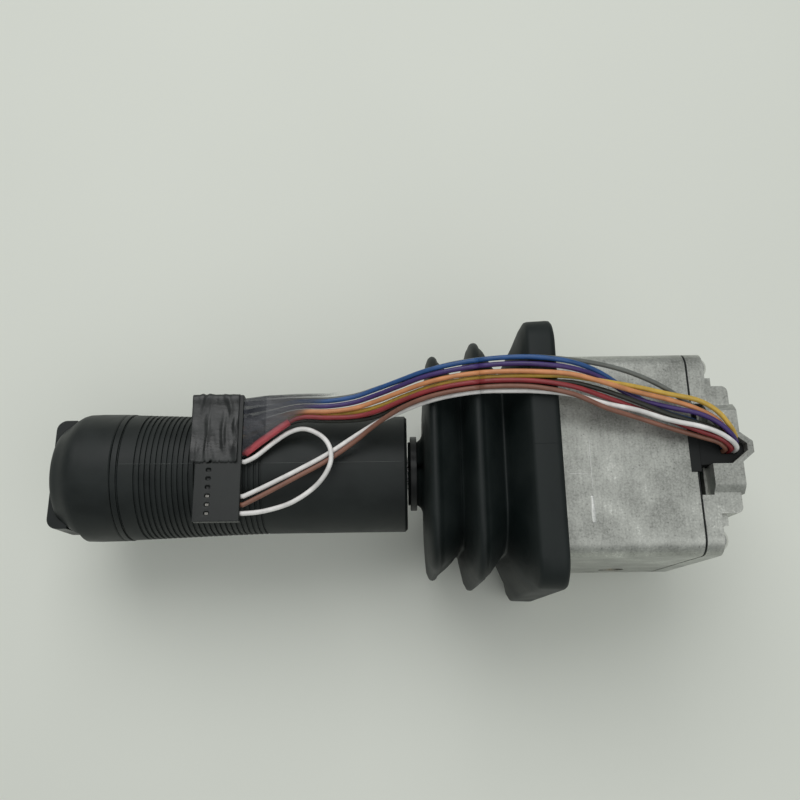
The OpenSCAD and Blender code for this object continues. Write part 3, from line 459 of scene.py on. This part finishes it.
def mesh_piece(name: str, points: list[Point], faces: list[tuple[int, ...]],
               material: bpy.types.Material, smooth: bool = True) -> bpy.types.Object:
    """Makes an object from points and faces, in metres.

    Args:
        name: name of the piece.
        points: its vertices.
        faces: its faces, as vertex numbers.
        material: its finish.
        smooth: whether its faces are shaded smooth.

    Returns:
        The new object.
    """
    mesh = bpy.data.meshes.new(name)
    mesh.from_pydata(points, [], faces)
    mesh.validate()
    if smooth:
        mesh.shade_smooth()
    mesh.materials.append(material)
    piece = bpy.data.objects.new(name, mesh)
    bpy.context.scene.collection.objects.link(piece)
    return piece


def loft_faces(rings: int, count: int, caps: bool = True) -> list[tuple[int, ...]]:
    """Faces that join closed rings of equal size.

    Args:
        rings: number of rings.
        count: points in a ring.
        caps: whether the first and last ring are filled.

    Returns:
        The faces, facing outwards when the rings run counter-clockwise seen from the end.
    """
    faces = []
    for i in range(rings - 1):
        for j in range(count):
            k = (j + 1) % count
            faces.append((i * count + j, i * count + k, (i + 1) * count + k,
                          (i + 1) * count + j))
    if caps:
        faces.append(tuple(range(count - 1, -1, -1)))
        faces.append(tuple((rings - 1) * count + j for j in range(count)))
    return faces


def outward(points: list[Point], faces: list[tuple[int, ...]]) -> list[tuple[int, ...]]:
    """Faces of a closed mesh, turned round if they face inwards.

    Args:
        points: its vertices.
        faces: its faces.

    Returns:
        The faces, facing outwards.
    """
    volume = 0.0
    for face in faces:
        a = Vector(points[face[0]])
        for j, k in zip(face[1:], face[2:]):
            volume += a.dot(Vector(points[j]).cross(Vector(points[k])))
    return faces if volume > 0 else [tuple(reversed(face)) for face in faces]


def spline(points: list[Vector], steps: int) -> list[Vector]:
    """Smooth curve through points.

    Args:
        points: the points that it passes.
        steps: pieces in each span.

    Returns:
        Points along the curve, the last one included.
    """
    out = []
    for i in range(len(points) - 1):
        a, b = points[max(i - 1, 0)], points[i]
        c, d = points[i + 1], points[min(i + 2, len(points) - 1)]
        for s in range(steps):
            u = s / steps
            out.append(0.5 * (2 * b + u * (c - a) + u * u * (2 * a - 5 * b + 4 * c - d)
                              + u ** 3 * (3 * b - a - 3 * c + d)))
    out.append(points[-1])
    return out


def tube_mesh(line: list[Vector], radius: float, sides: int,
              up: Vector) -> tuple[list[Point], list[tuple[int, ...]]]:
    """Round tube along a line.

    Args:
        line: points of the centreline.
        radius: radius of the tube.
        sides: points in each ring.
        up: a direction that the line never follows.

    Returns:
        Its vertices and faces.
    """
    points: list[Point] = []
    for i, p in enumerate(line):
        ahead = (line[min(i + 1, len(line) - 1)] - line[max(i - 1, 0)]).normalized()
        a = ahead.cross(up).normalized()
        b = ahead.cross(a)
        for k in range(sides):
            t = 2 * math.pi * k / sides
            points.append(tuple(p + radius * (math.cos(t) * a + math.sin(t) * b)))
    return points, loft_faces(len(line), sides)


def soften(piece: bpy.types.Object, width: float, segments: int = 2,
           angle: float = 32.0) -> None:
    """Rounds a piece's sharp edges with modifiers, leaving its own mesh as it is.

    Args:
        piece: the piece.
        width: width of the rounding, in metres.
        segments: faces across the rounding.
        angle: edges sharper than this are rounded, in degrees.
    """
    weld = piece.modifiers.new("weld", "WELD")
    weld.merge_threshold = 0.002 * MM
    bevel = piece.modifiers.new("edge_radius", "BEVEL")
    bevel.width = width
    bevel.segments = segments
    bevel.limit_method = "ANGLE"
    bevel.angle_limit = math.radians(angle)
    bevel.use_clamp_overlap = True
    bevel.miter_outer = "MITER_ARC"
    bevel.harden_normals = False
    normals = piece.modifiers.new("normals", "WEIGHTED_NORMAL")
    normals.keep_sharp = False
    normals.weight = 80


def dress(node: str, material: bpy.types.Material, edge: float = 0.0) -> None:
    """Gives a CAD node its finish and, if asked, rounded edges.

    Args:
        node: the CAD node's name.
        material: its finish.
        edge: width of the edge rounding in metres, or 0 for none.
    """
    piece = frame["nodes"][node]
    piece.data.materials.clear()
    piece.data.materials.append(material)
    if edge:
        soften(piece, edge)
    LOG.info("dressed %s", node)


def place(piece: bpy.types.Object, body: str, slot: str, *nodes: str) -> bpy.types.Object:
    """Puts a new piece on a body in the place of CAD nodes, and reports it.

    Args:
        piece: the piece.
        body: the CAD body that it rides on.
        slot: the record's material slot.
        nodes: the CAD nodes that it stands for.

    Returns:
        slot: the record's material slot; not used.
    """
    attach(piece, body)
    if nodes:
        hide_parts(*nodes)
    LOG.info("made %s", piece.name)
    return piece


# ---------------------------------------------------------------- studio


@dataclass(frozen=True)
class SoftBox:
    """A square soft light that points at the origin; sizes in metres, power in watts."""

    name: str
    at: Point
    size: float
    power: float

    def build(self) -> None:
        """Makes the light."""
        data = bpy.data.lights.new(self.name, "AREA")
        data.shape = "SQUARE"
        data.size = self.size
        data.energy = self.power
        light = bpy.data.objects.new(self.name, data)
        light.location = self.at
        light.rotation_euler = (-Vector(self.at)).to_track_quat("-Z", "Y").to_euler()
        bpy.context.scene.collection.objects.link(light)


@dataclass
class Studio:
    """Pale floor, soft light from above and the camera."""

    camera_at: Point = (-0.04373, -0.05205, 0.2505)
    camera_turn: Point = (16.995, 0.401, -0.708)
    lens: float = 36.1
    floor_z: float = -38.45 * MM
    floor_colour: tuple[float, float, float] = (0.78, 0.80, 0.735)
    floor_half: float = 3.0
    world: float = 0.36
    world_colour: tuple[float, float, float] = (0.93, 0.97, 0.95)
    boxes: tuple[SoftBox, ...] = (
        SoftBox("key_box", (-0.15, 0.45, 0.75), 0.7, 3.5),
        SoftBox("fill_box", (0.25, -0.35, 0.8), 0.8, 1.7))

    def build_camera(self) -> None:
        """Makes the camera."""
        data = bpy.data.cameras.new("camera")
        data.lens = self.lens
        data.sensor_width = 36
        data.clip_start = 0.01
        camera = bpy.data.objects.new("camera", data)
        camera.location = self.camera_at
        camera.rotation_euler = tuple(math.radians(a) for a in self.camera_turn)
        bpy.context.scene.collection.objects.link(camera)
        bpy.context.scene.camera = camera

    def build_floor(self) -> None:
        """Makes the floor."""
        g = ShaderGraph("floor_paper")
        tone = g.noise(0.2, 2)
        low = tuple(0.97 * c for c in self.floor_colour)
        g.link(g.ramp(tone, [(0.3, low), (0.7, self.floor_colour)]),
               g.shader.inputs["Base Color"])
        g.set("Roughness", 0.75)
        size, z = self.floor_half, self.floor_z
        floor = mesh_piece("floor", [(-size, -size, z), (size, -size, z), (size, size, z),
                                     (-size, size, z)], [(0, 1, 2, 3)], g.material, False)

    def build_light(self) -> None:
        """Makes the world's even light and the soft boxes."""
        world = bpy.data.worlds.new("studio")
        world.use_nodes = True
        background = world.node_tree.nodes["Background"]
        background.inputs["Color"].default_value = (*self.world_colour, 1)
        background.inputs["Strength"].default_value = self.world
        bpy.context.scene.world = world
        for box in self.boxes:
            box.build()
        bpy.context.scene.view_settings.view_transform = "Standard"

    def build(self) -> None:
        """Makes the camera, the floor and the light."""
        self.build_camera()
        self.build_floor()
        self.build_light()


# ---------------------------------------------------------------- harness


class FarEnd(Enum):
    """What the far end of a stretch of wire is on."""

    OBJECT = "object"
    CONNECTOR = "connector"


@dataclass
class WireRun:
    """One harness wire: its lanes along the trunk and its turn into the cover."""

    colour: str
    side: list[float]
    layer: list[float]
    before: float
    after: float


def low_then(*tail: float) -> list[float]:
    """Layers of a wire that lies under the others until it crosses the housing."""
    return [0.0] * 13 + list(tail)


def high_then(*tail: float) -> list[float]:
    """Layers of a wire that rises on the others and keeps above them over the boot."""
    return [0.0, 0.4] + [1.0] * 11 + list(tail)


@dataclass
class Harness:
    """Nine loose wires from the cover to the connector, and the jumper loop."""

    trunk: list[Point] = field(default_factory=lambda: [
        (-90.2, 0, 20.3), (-84, 0, 20.5), (-75, 0, 20.8), (-66, 0, 21), (-58, 0, 21.8),
        (-51, 0, 24), (-44, 0, 28.6), (-37, 0, 33), (-30, 0, 35.4), (-22, 0, 37),
        (-14, 0, 38.6), (-6, 0, 39.7), (3, 0, 39.4), (12, 0, 37.4), (21, 0, 35.4),
        (30, 0, 33.8), (38, 0, 33)])
    jumper: list[Point] = field(default_factory=lambda: [
        (-90.2, -15.2, 20.3), (-84, -14.6, 20.5), (-76, -12.2, 20.8), (-69, -7.4, 21.2),
        (-65.2, -2, 22.4), (-65, 3, 22.6), (-67.6, 7, 21.8), (-72.5, 9.5, 21),
        (-77, 8.8, 20.7), (-82, 5.6, 20.5), (-87, 1.6, 20.4), (-90.2, 0, 20.3)])
    plug_face: float = -91.0
    layer_t: float = 1.5
    wire_d: float = 1.4
    turn_x: float = 43.6
    turn_z: float = 29.6
    turn_r: float = 3.2
    end_z: float = 26.3
    end_y: float = 0.9
    sides: int = 12
    steps: int = 4
    loop_steps: int = 6
    seam: int = 9
    seam_gap: float = 0.2
    bend_from: float = 3.0
    bend_to: float = -52.0
    sleeve_r: float = 1.15
    sleeve_sides: int = 14
    sleeve_from: float = -90.6
    sleeve_to: float = -77.0

    def runs(self) -> list[WireRun]:
        """Lists the nine wires, from the grey one on the outside inwards.

        Returns:
            The wires.
        """
        y = self.end_y
        return [
            WireRun("grey", [17.8, 18.2, 18.6, 18.6, 19.4, 20.9, 21.8, 23, 24.1, 24.8, 24.8,
                             24.4, 23.6, 22.8, 20.8, 17, 11.4], [0.0] * 17, 7.2, y + 1.5),
            WireRun("blue", [15.3, 16.2, 17.6, 17.6, 18.5, 20.1, 21.2, 22.4, 23.4, 24.2, 24.3,
                             23.8, 22.4, 20.4, 15.4, 10.4, 7.2],
                    high_then(-0.3, -1, -1, -0.2), 3.8, y),
            WireRun("purple", [12.7, 14.2, 16, 16, 16.8, 18.3, 19.5, 20.8, 21.7, 22.4, 22.4,
                               21.8, 20.6, 18.7, 13.6, 10.9, 8.6],
                    high_then(0, 0, 0.6, 1.8), 5.8, y),
            WireRun("orange", [10.2, 12.2, 14.4, 14.4, 15, 16.4, 17.6, 18.8, 19.8, 20.4, 20.2,
                               19.6, 18.8, 16.2, 14.5, 12.8, 10.4],
                    high_then(2, 1.3, 1.2, 1.1), 7.4, y + 1.5),
            WireRun("yellow", [7.6, 10.4, 13.8, 13.6, 14.2, 15.2, 16.6, 17.8, 18.8, 19.4, 19.2,
                               18.9, 18.7, 17.2, 16.2, 14.4, 12.4],
                    low_then(1, 1, 1.3, 2), 9.2, y + 1.5),
            WireRun("black", [5.1, 8.4, 12.1, 11.9, 11.8, 12.4, 14.2, 15.6, 16.6, 17.2, 17.2,
                              17, 16.9, 14.8, 11.8, 8.6, 6.2], low_then(0.6, 1, 1, 1), 4.2, y),
            WireRun("red", [2.6, 6.8, 12.5, 12.5, 12.5, 13.3, 14.8, 16.2, 17.2, 17.8, 17.6,
                            16.8, 15.2, 13, 10.6, 7.6, 4.1],
                    [0.0] + [1.0] * 12 + [0.5, 0, 0, 0.9], 2.0, y - 1.5),
            WireRun("white", [-10.2, -7.4, -3, 1.8, 6.8, 10.5, 12.4, 13.8, 14.8, 15.4, 15,
                              14.4, 13.4, 11.2, 9.4, 6.8, 4.8], low_then(0.3, 1, 1.2, 2),
                    2.8, y - 1.5),
            WireRun("brown", [-12.7, -9.6, -4.9, -0.1, 5, 9.4, 12.6, 14.4, 15.5, 16.1, 15.9,
                              15, 13, 9.6, 7.6, 5, 2.9],
                    [0.0] * 4 + [0.4] + [1.0] * 8 + [0.9, 0.3, 0.3, 0], 1.2, y - 1.5),
        ]

    def route(self, run: WireRun) -> list[Vector]:
        """Control points of one wire, from the connector to the cover.

        Args:
            run: the wire.

        Returns:
            Its points, in metres.
        """
        trunk = [Vector(p) for p in self.trunk]
        points = []
        for i, p in enumerate(trunk):
            h = (trunk[min(i + 1, len(trunk) - 1)] - trunk[max(i - 1, 0)]).normalized()
            lift = self.layer_t * run.layer[i]
            points.append(p + Vector((-h.z * lift, run.side[i], h.x * lift)))
        r = self.turn_r + self.layer_t * round(run.layer[-1])
        for degrees, share in ((90, 1), (55, 0.4), (25, 0.08), (0, 0)):
            t = math.radians(degrees)
            points.append(Vector((self.turn_x + r * math.cos(t),
                                  run.after + (run.before - run.after) * share,
                                  self.turn_z + r * math.sin(t))))
        points.append(Vector((self.turn_x + r, run.after, self.end_z)))
        return [p * MM for p in points]

    def from_plug(self, line: list[Vector]) -> list[Vector]:
        """The line with a first point square on the connector's face."""
        return [Vector((self.plug_face * MM, line[0].y, line[0].z))] + line

    def add_cord(self, name: str, line: list[Vector], material: bpy.types.Material,
                 up: Vector) -> bpy.types.Object:
        """Makes one stretch of wire as a tube."""
        points, faces = tube_mesh(line, self.wire_d * MM / 2, self.sides, up)
        return mesh_piece(name, points, faces, material)

    def add_sleeve(self, line: list[Vector], material: bpy.types.Material) -> None:
        """Makes the short flat sleeve on the red wire beside the connector.

        Args:
            line: centreline of the wire, from the connector on.
            material: its finish.
        """
        covered = [p for p in line if self.sleeve_from * MM < p.x < self.sleeve_to * MM]
        points, faces = tube_mesh(covered, self.sleeve_r * MM, self.sleeve_sides, Vector((0, 1, 0)))
        sleeve = mesh_piece("red_sleeve", points, faces, material)
        place(sleeve, "stick", "red_cable")

    def build(self, finishes: Finishes) -> None:
        """Makes the wires: each is one tube up to the boot's valley and one from there on.

        Args:
            finishes: the shared finishes.
        """
        for run in self.runs():
            line = self.from_plug(spline(self.route(run), self.steps))
            cut = self.steps * self.seam + 1
            material = finishes[f"{run.colour}_insulation"]
            rear = list(reversed(line[cut:]))
            front = list(reversed(line[:cut + 1]))
            side = Vector((0, 1, 0))
            near = self.add_cord(f"wire_{run.colour}_rear", rear, material, side)
            far = self.add_cord(f"wire_{run.colour}_front", front, material, side)
            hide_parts(f"wire_{run.colour}")
            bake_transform(near)
            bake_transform(far)
            LOG.info("made wire %s", run.colour)
            if run.colour == "red":
                self.add_sleeve(line, finishes["sleeve_insulation"])
        loop = self.from_plug(spline([Vector(p) * MM for p in self.jumper], self.loop_steps))
        loop.append(Vector((self.plug_face * MM, *loop[-1].yz)))
        jumper = self.add_cord("jumper_loop", loop, finishes["white_insulation"],
                               Vector((0, 0, 1)))
        place(jumper, "stick", "white_cable", "wire_jumper")


# ---------------------------------------------------------------- tape


@dataclass
class TapeWrap:
    """Vinyl tape folded over half of the connector and stuck down the grip's side."""

    front_x: float = -106.2
    rear_x: float = -92.3
    stations: int = 48
    thickness: float = 0.26
    top_z: float = 22.02
    low_z: float = 18.5
    edge_y: float = 20.5
    end_y: float = -0.6
    bend_r: float = 0.8
    flat_points: int = 30
    seat_drop: float = 5.0
    tear: float = 1.9
    tear_points: int = 10
    notch: float = 0.8
    notch_from: float = 0.42
    notch_to: float = 0.47
    crease: float = 0.3
    crease_limit: float = 0.45
    pleat_at: float = 0.3
    pleat_w: float = 0.03
    rim: float = 0.3
    rim_w: float = 2.2
    curl: float = 0.9
    curl_from: float = 0.86
    curl_points: int = 14

    def profile(self, hug: float) -> list[Vector]:
        """Outer line of the tape's section, from its torn edge to its lower end.

        Args:
            hug: radius at which it lies on the grip, in millimetres.

        Returns:
            Points in the YZ plane, in millimetres.
        """
        line = []
        flat = self.edge_y - self.bend_r - self.end_y
        for i in range(self.flat_points + 1):
            line.append(Vector((0, self.end_y + flat * i / self.flat_points, self.top_z)))
        for degrees in (65, 40, 15, 0):
            t = math.radians(degrees)
            line.append(Vector((0, self.edge_y - self.bend_r + self.bend_r * math.cos(t),
                                self.top_z - self.bend_r + self.bend_r * math.sin(t))))
        line.append(Vector((0, self.edge_y, self.low_z)))
        for degrees in range(48, -36, -6):
            t = math.radians(degrees)
            if hug * math.sin(t) < self.low_z - self.seat_drop:
                line.append(Vector((0, hug * math.cos(t), hug * math.sin(t))))
        return line

    def rise(self, u: float, x: float, j: int) -> float:
        """How far the tape stands off: creases, one pleat, the folded rim and the curl.

        Args:
            u: place along the stick, from 0 at the front to 1 at the rear.
            x: the same place, in millimetres.
            j: number of the point along the section.

        Returns:
            The height in millimetres.
        """
        fold = noise.noise(Vector((x * 0.45, j * 0.09, 0))) ** 2 * 4
        fold += 0.5 * max(0.0, 1 - abs(u - self.pleat_at - 0.004 * j) / self.pleat_w)
        rim = self.rim * math.exp(-((j - self.flat_points + 1) / self.rim_w) ** 2)
        corner = max(0.0, (u - self.curl_from) / (1 - self.curl_from)) ** 2
        lift = self.curl * corner * max(0.0, 1 - j / self.curl_points)
        return min(self.crease * fold, self.crease_limit) + rim + lift

    def build(self, finishes: Finishes) -> None:
        """Makes the wrap with its torn edge, soft creases and one lifted corner.

        Args:
            finishes: the shared finishes.
        """
        node = frame["nodes"]["tape_wrap"]
        low = [node.matrix_world @ v.co for v in node.data.vertices]
        hug = max(math.hypot(v.y, v.z) for v in low if v.z < 0) / MM
        line = self.profile(hug)
        points: list[Point] = []
        for i in range(self.stations):
            u = i / (self.stations - 1)
            x = self.front_x + (self.rear_x - self.front_x) * u
            ragged = self.tear * abs(noise.noise(Vector((x * 0.9, 3.1, 0))))
            ragged += self.notch if self.notch_from < u < self.notch_to else 0
            outer, inner = [], []
            for j, p in enumerate(line):
                a, b = line[max(j - 1, 0)], line[min(j + 1, len(line) - 1)]
                out = Vector((0, -(b - a).z, (b - a).y)).normalized()
                near_end = max(0.0, 1 - j / self.tear_points)
                q = Vector((x, p.y + ragged * near_end, p.z)) + out * self.rise(u, x, j)
                outer.append(q)
                inner.append(q - out * self.thickness)
            points += [tuple(q * MM) for q in outer + inner[::-1]]
        faces = outward(points, loft_faces(self.stations, 2 * len(line)))
        wrap = mesh_piece("tape_wrinkled", points, faces, finishes["tape_vinyl"])
        place(wrap, "stick", "tape", "tape_wrap")


# ---------------------------------------------------------------- boot


@dataclass
class Boot:
    """Rubber boot: skirt, two folds and neck, in two stretches that meet in the valley."""

    corner_points: int = 12
    skirt_half: float = 38.4
    skirt_r: float = 8.0
    neck_r: float = 10.0
    wall: float = 2.0
    flange_half: float = 35.6
    flange_r: float = 6.0
    lip: float = 2.5
    stick_r: float = 5.3
    lower_bend: tuple[float, float] = (-9.4, -26.9)
    upper_bend: tuple[float, float] = (-27.1, -39.0)
    profile: list[tuple[float, float]] = field(default_factory=lambda: [
        (0.3, 37.4), (0.5, 37.9), (1.1, 38.35), (2.0, 38.4), (4.8, 38.3), (7.4, 38.2),
        (8.1, 38.0), (8.5, 37.5), (8.9, 36.9), (9.4, 36.2), (10.6, 34.0), (12.4, 30.8),
        (13.6, 28.5), (14.2, 27.5), (14.5, 27.15), (14.8, 27.1), (15.1, 27.2), (15.5, 27.6),
        (16.4, 28.9), (18.2, 31.2), (19.6, 33.0), (20.4, 33.7), (20.9, 34.0), (21.3, 34.75),
        (21.8, 35.1), (22.4, 35.2), (23.0, 35.1), (23.5, 34.75), (23.9, 34.0), (24.4, 33.2),
        (25.2, 30.4), (26.0, 27.4), (26.4, 25.8), (26.7, 25.15), (27.0, 25.05)])
    upper: list[tuple[float, float]] = field(default_factory=lambda: [
        (27.0, 25.05), (27.3, 25.15), (27.7, 25.6), (28.4, 26.5), (29.8, 27.9), (31.4, 29.2),
        (32.4, 30.0), (33.1, 30.6), (33.5, 31.4), (34.1, 31.85), (34.7, 32.0), (35.3, 31.85),
        (35.9, 31.4), (36.3, 30.6), (36.7, 29.6), (37.1, 26.0), (37.4, 21.5), (37.6, 13.5),
        (37.9, 12.0), (38.4, 10.9), (39.0, 10.3), (39.6, 10.02), (42.2, 10.0), (42.3, 9.7)])

    def corner(self, half: float) -> float:
        """Corner radius of the section: round at the neck, squarer outwards.

        Args:
            half: half side of the section, in millimetres.

        Returns:
            The radius in millimetres.
        """
        if half > self.skirt_half - 3:
            return self.skirt_r
        if half < self.neck_r + 5:
            return half
        return half * 0.28 + 5

    def ring(self, z: float, half: float, radius: float) -> list[Point]:
        """One rounded-square section.

        Args:
            z: distance from the panel seat towards the grip, in millimetres.
            half: half side.
            radius: corner radius.

        Returns:
            Its points, in metres.
        """
        out = []
        n = self.corner_points
        for q in range(4):
            cy = (half - radius) * (1 if q in (0, 3) else -1)
            cz = (half - radius) * (1 if q < 2 else -1)
            for i in range(n):
                t = math.radians(90 * q + 90 * i / (n - 1))
                out.append((-z * MM, (cy + radius * math.cos(t)) * MM,
                            (cz + radius * math.sin(t)) * MM))
        return out

    def shell(self, name: str, outer: list[tuple[float, float]],
              inner: list[tuple[float, float, float]],
              material: bpy.types.Material) -> bpy.types.Object:
        """Makes a closed shell from outer and inner sections.

        Args:
            name: name of the piece.
            outer: stations and half sides outside, in order.
            inner: stations, half sides and corner radii inside, on the way back.
            material: its finish.

        Returns:
            The shell.
        """
        points: list[Point] = []
        for z, half in outer:
            points += self.ring(z, half, self.corner(half))
        for z, half, radius in inner:
            points += self.ring(z, half, radius)
        count = 4 * self.corner_points
        rings = len(outer) + len(inner)
        faces = loft_faces(rings, count, caps=False)
        for j in range(count):
            k = (j + 1) % count
            last = (rings - 1) * count
            faces.append((last + j, last + k, k, j))
        return mesh_piece(name, points, faces, material)

    def inside(self, stations: list[tuple[float, float]]) -> list[tuple[float, float, float]]:
        """Inner sections that follow outer ones at the wall's thickness."""
        return [(z, half - self.wall, max(self.corner(half) - self.wall * 0.5, 3.0))
                for z, half in stations]

    def build(self, finishes: Finishes) -> None:
        """Makes both stretches.

        Args:
            finishes: the shared finishes.
        """
        material = finishes["boot_rubber"]
        lower_in = self.inside([s for s in reversed(self.profile) if 9.5 < s[0] < 27.1][::2])
        lower_in += [(4.2, self.flange_half - self.lip, self.flange_r),
                     (4.1, self.flange_half, self.flange_r), (0.3, self.flange_half, self.flange_r)]
        lower = self.shell("boot_skirt_and_fold", self.profile, lower_in, material)
        upper_in = [(42.3, self.stick_r, self.stick_r), (38.2, self.stick_r, self.stick_r)]
        upper_in += self.inside([s for s in reversed(self.upper) if s[0] < 36.4][::2])
        upper = self.shell("boot_fold_and_neck", self.upper, upper_in, material)
        for piece in (lower, upper):
            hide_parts("boot")
        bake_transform(lower)
        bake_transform(upper)
        LOG.info("made boot")


# ---------------------------------------------------------------- rigid parts


@dataclass
class RigidParts:
    """The CAD nodes that keep their shape and get a finish."""

    looks: dict[str, tuple[str, str, float]] = field(default_factory=lambda: {
        "housing": ("cast_zinc", "die_cast", 0.9), "rear_cover": ("cast_zinc", "die_cast", 1.1),
        "cover_gasket": ("seal_rubber", "gasket_rubber", 0.0),
        "cable_grommet": ("seal_rubber", "gasket_rubber", 0.25),
        "cover_screws": ("zinc_plate", "screw_zinc", 0.1),
        "hood_screws": ("zinc_plate", "screw_zinc", 0.0),
        "pivot_bushings": ("brass", "brass_part", 0.0),
        "spring_posts": ("brass", "brass_part", 0.0),
        "fore_spring": ("spring_steel", "spring_steel", 0.0),
        "side_spring": ("spring_steel", "spring_steel", 0.0),
        "circuit_board": ("board_lacquer", "board", 0.0),
        "hall_sensors": ("chip_plastic", "chip", 0.0),
        "board_screws": ("zinc_plate", "screw_zinc", 0.0),
        "gimbal_yoke": ("inner_casting", "moving_cast", 0.0),
        "gimbal_magnet": ("bright_steel", "magnet", 0.0),
        "slotted_bail": ("inner_casting", "moving_cast", 0.0),
        "bail_magnet": ("bright_steel", "magnet", 0.0),
        "stick_shaft": ("bright_steel", "steel", 0.0),
        "cross_pin": ("bright_steel", "steel", 0.0),
        "boot_clamp": ("black_coat", "screw_zinc", 0.15),
        "grip_half_left": ("grip_plastic", "grip_plastic", 0.0),
        "grip_half_right": ("grip_plastic", "grip_plastic", 0.0),
        "grip_screws": ("zinc_plate", "screw_zinc", 0.0),
        "stick_nut": ("zinc_plate", "screw_zinc", 0.2),
        "cap_ring": ("cap_plastic", "cap_plastic", 0.1), "cap": ("cap_plastic", "cap_plastic", 0.3),
        "rocker": ("rocker_plastic", "rocker_plastic", 0.5),
        "rocker_pin": ("bright_steel", "steel", 0.0),
        "rocker_switch": ("switch_plastic", "switch_plastic", 0.2),
        "plunger_left": ("plunger_plastic", "plunger_plastic", 0.0),
        "plunger_right": ("plunger_plastic", "plunger_plastic", 0.0),
        "plunger_spring_left": ("spring_steel", "spring_steel", 0.0),
        "plunger_spring_right": ("spring_steel", "spring_steel", 0.0),
        "connector_housing": ("plug_plastic", "plug_plastic", 0.25),
        "connector_contacts": ("tinned", "contact_metal", 0.0),
        "harness_film": ("wrap_film", "film", 0.0),
    })

    def build(self, finishes: Finishes) -> None:
        """Dresses every node."""
        for node, (finish, slot, edge) in self.looks.items():
            dress(node, finishes[finish], edge * MM)


# ---------------------------------------------------------------- moulding and casting lines


class Relief:
    """The upper surface of some pieces, for thin details that lie on it."""

    def __init__(self, pieces: list[bpy.types.Object]) -> None:
        """Reads the pieces' surfaces.

        Args:
            pieces: the pieces that carry the detail.
        """
        points: list[Vector] = []
        faces: list[tuple[int, ...]] = []
        for piece in pieces:
            start = len(points)
            points += [piece.matrix_world @ v.co for v in piece.data.vertices]
            faces += [tuple(start + i for i in f.vertices) for f in piece.data.polygons]
        self.tree = BVHTree.FromPolygons(points, faces)

    def height(self, x: float, y: float, reach: float = 0.2 * MM) -> float | None:
        """Height of the surface beside a point, past a narrow joint in it.

        Args:
            x: place along the stick, in metres.
            y: place across the stick, in metres.
            reach: how far to look to either side.

        Returns:
            The height in metres, or None where nothing lies below.
        """
        tops = []
        for side in (-reach, 0, reach):
            hit = self.tree.ray_cast(Vector((x, y + side, 0.1)), Vector((0, 0, -1)))[0]
            if hit is not None:
                tops.append(hit.z)
        return max(tops) if tops else None


@dataclass
class FineLines:
    """Flash along mould joints and raised lines on the casting."""

    width: float = 0.34 * MM
    rise: float = 0.09 * MM
    sink: float = 0.12 * MM
    step: float = 0.5 * MM
    grip_ends: Ends = ((-129, 0), (-44, 0))
    skirt_ends: Ends = ((-8.2, 0), (-0.7, 0))
    casting: tuple[tuple[str, Ends, float], ...] = (
        ("casting_ridge_long", ((8.9, 3.7), (8.9, -11.5)), 0.5 * MM),
        ("casting_ridge_cross", ((2.4, -6.7), (8.3, -6.7)), 0.4 * MM),
        ("casting_oval", ((8.6, -12.9), (8.6, -20.6)), 2.0 * MM))

    def strip(self, name: str, ends: Ends, relief: Relief, material: bpy.types.Material,
              width: float | None = None) -> bpy.types.Object:
        """A low rounded ridge that follows a surface between two places.

        Args:
            name: name of the piece.
            ends: X and Y of both ends, in millimetres.
            relief: the surface that it lies on.
            material: its finish.
            width: its width in metres, or None for the usual one.

        Returns:
            The ridge.
        """
        a, b = (Vector((x, y, 0)) * MM for x, y in ends)
        across = Vector((-(b - a).y, (b - a).x, 0)).normalized() * (width or self.width) / 2
        count = max(2, round((b - a).length / self.step))
        section = ((-1, -self.sink), (-0.55, self.rise * 0.7), (0, self.rise),
                   (0.55, self.rise * 0.7), (1, -self.sink))
        points: list[Point] = []
        for i in range(count + 1):
            p = a.lerp(b, i / count)
            z = relief.height(p.x, p.y)
            if z is None:
                continue
            swell = 0.75 + 0.35 * noise.noise(p / (2.5 * MM))
            for share, lift in section:
                q = p + across * share * swell
                points.append((q.x, q.y, z + lift * (swell if lift > 0 else 1)))
        faces = outward(points, loft_faces(len(points) // len(section), len(section)))
        return mesh_piece(name, points, faces, material)

    def build(self, finishes: Finishes) -> None:
        """Makes the flash on the grip and skirt and the lines on the housing.

        Args:
            finishes: the shared finishes.
        """
        nodes = frame["nodes"]
        grip = Relief([nodes["grip_half_left"], nodes["grip_half_right"]])
        skirt = Relief([nodes["boot"]])
        shell = Relief([nodes["housing"]])
        flash = self.strip("grip_flash", self.grip_ends, grip, finishes["flash"])
        place(flash, "stick", "grip_plastic")
        seam = self.strip("skirt_flash", self.skirt_ends, skirt, finishes["boot_rubber"])
        place(seam, "base", "boot_rubber")
        for name, ends, width in self.casting:
            line = self.strip(name, ends, shell, finishes["cast_bright"], width)
            place(line, "base", "die_cast")


def main() -> None:
    """Builds the studio, the finishes and the pieces."""
    logging.basicConfig(level=logging.INFO, format="%(name)s: %(message)s")
    Studio().build()
    finishes = Finishes()
    Harness().build(finishes)
    TapeWrap().build(finishes)
    Boot().build(finishes)
    FineLines().build(finishes)
    RigidParts().build(finishes)


if __name__ == "__main__":
    main()
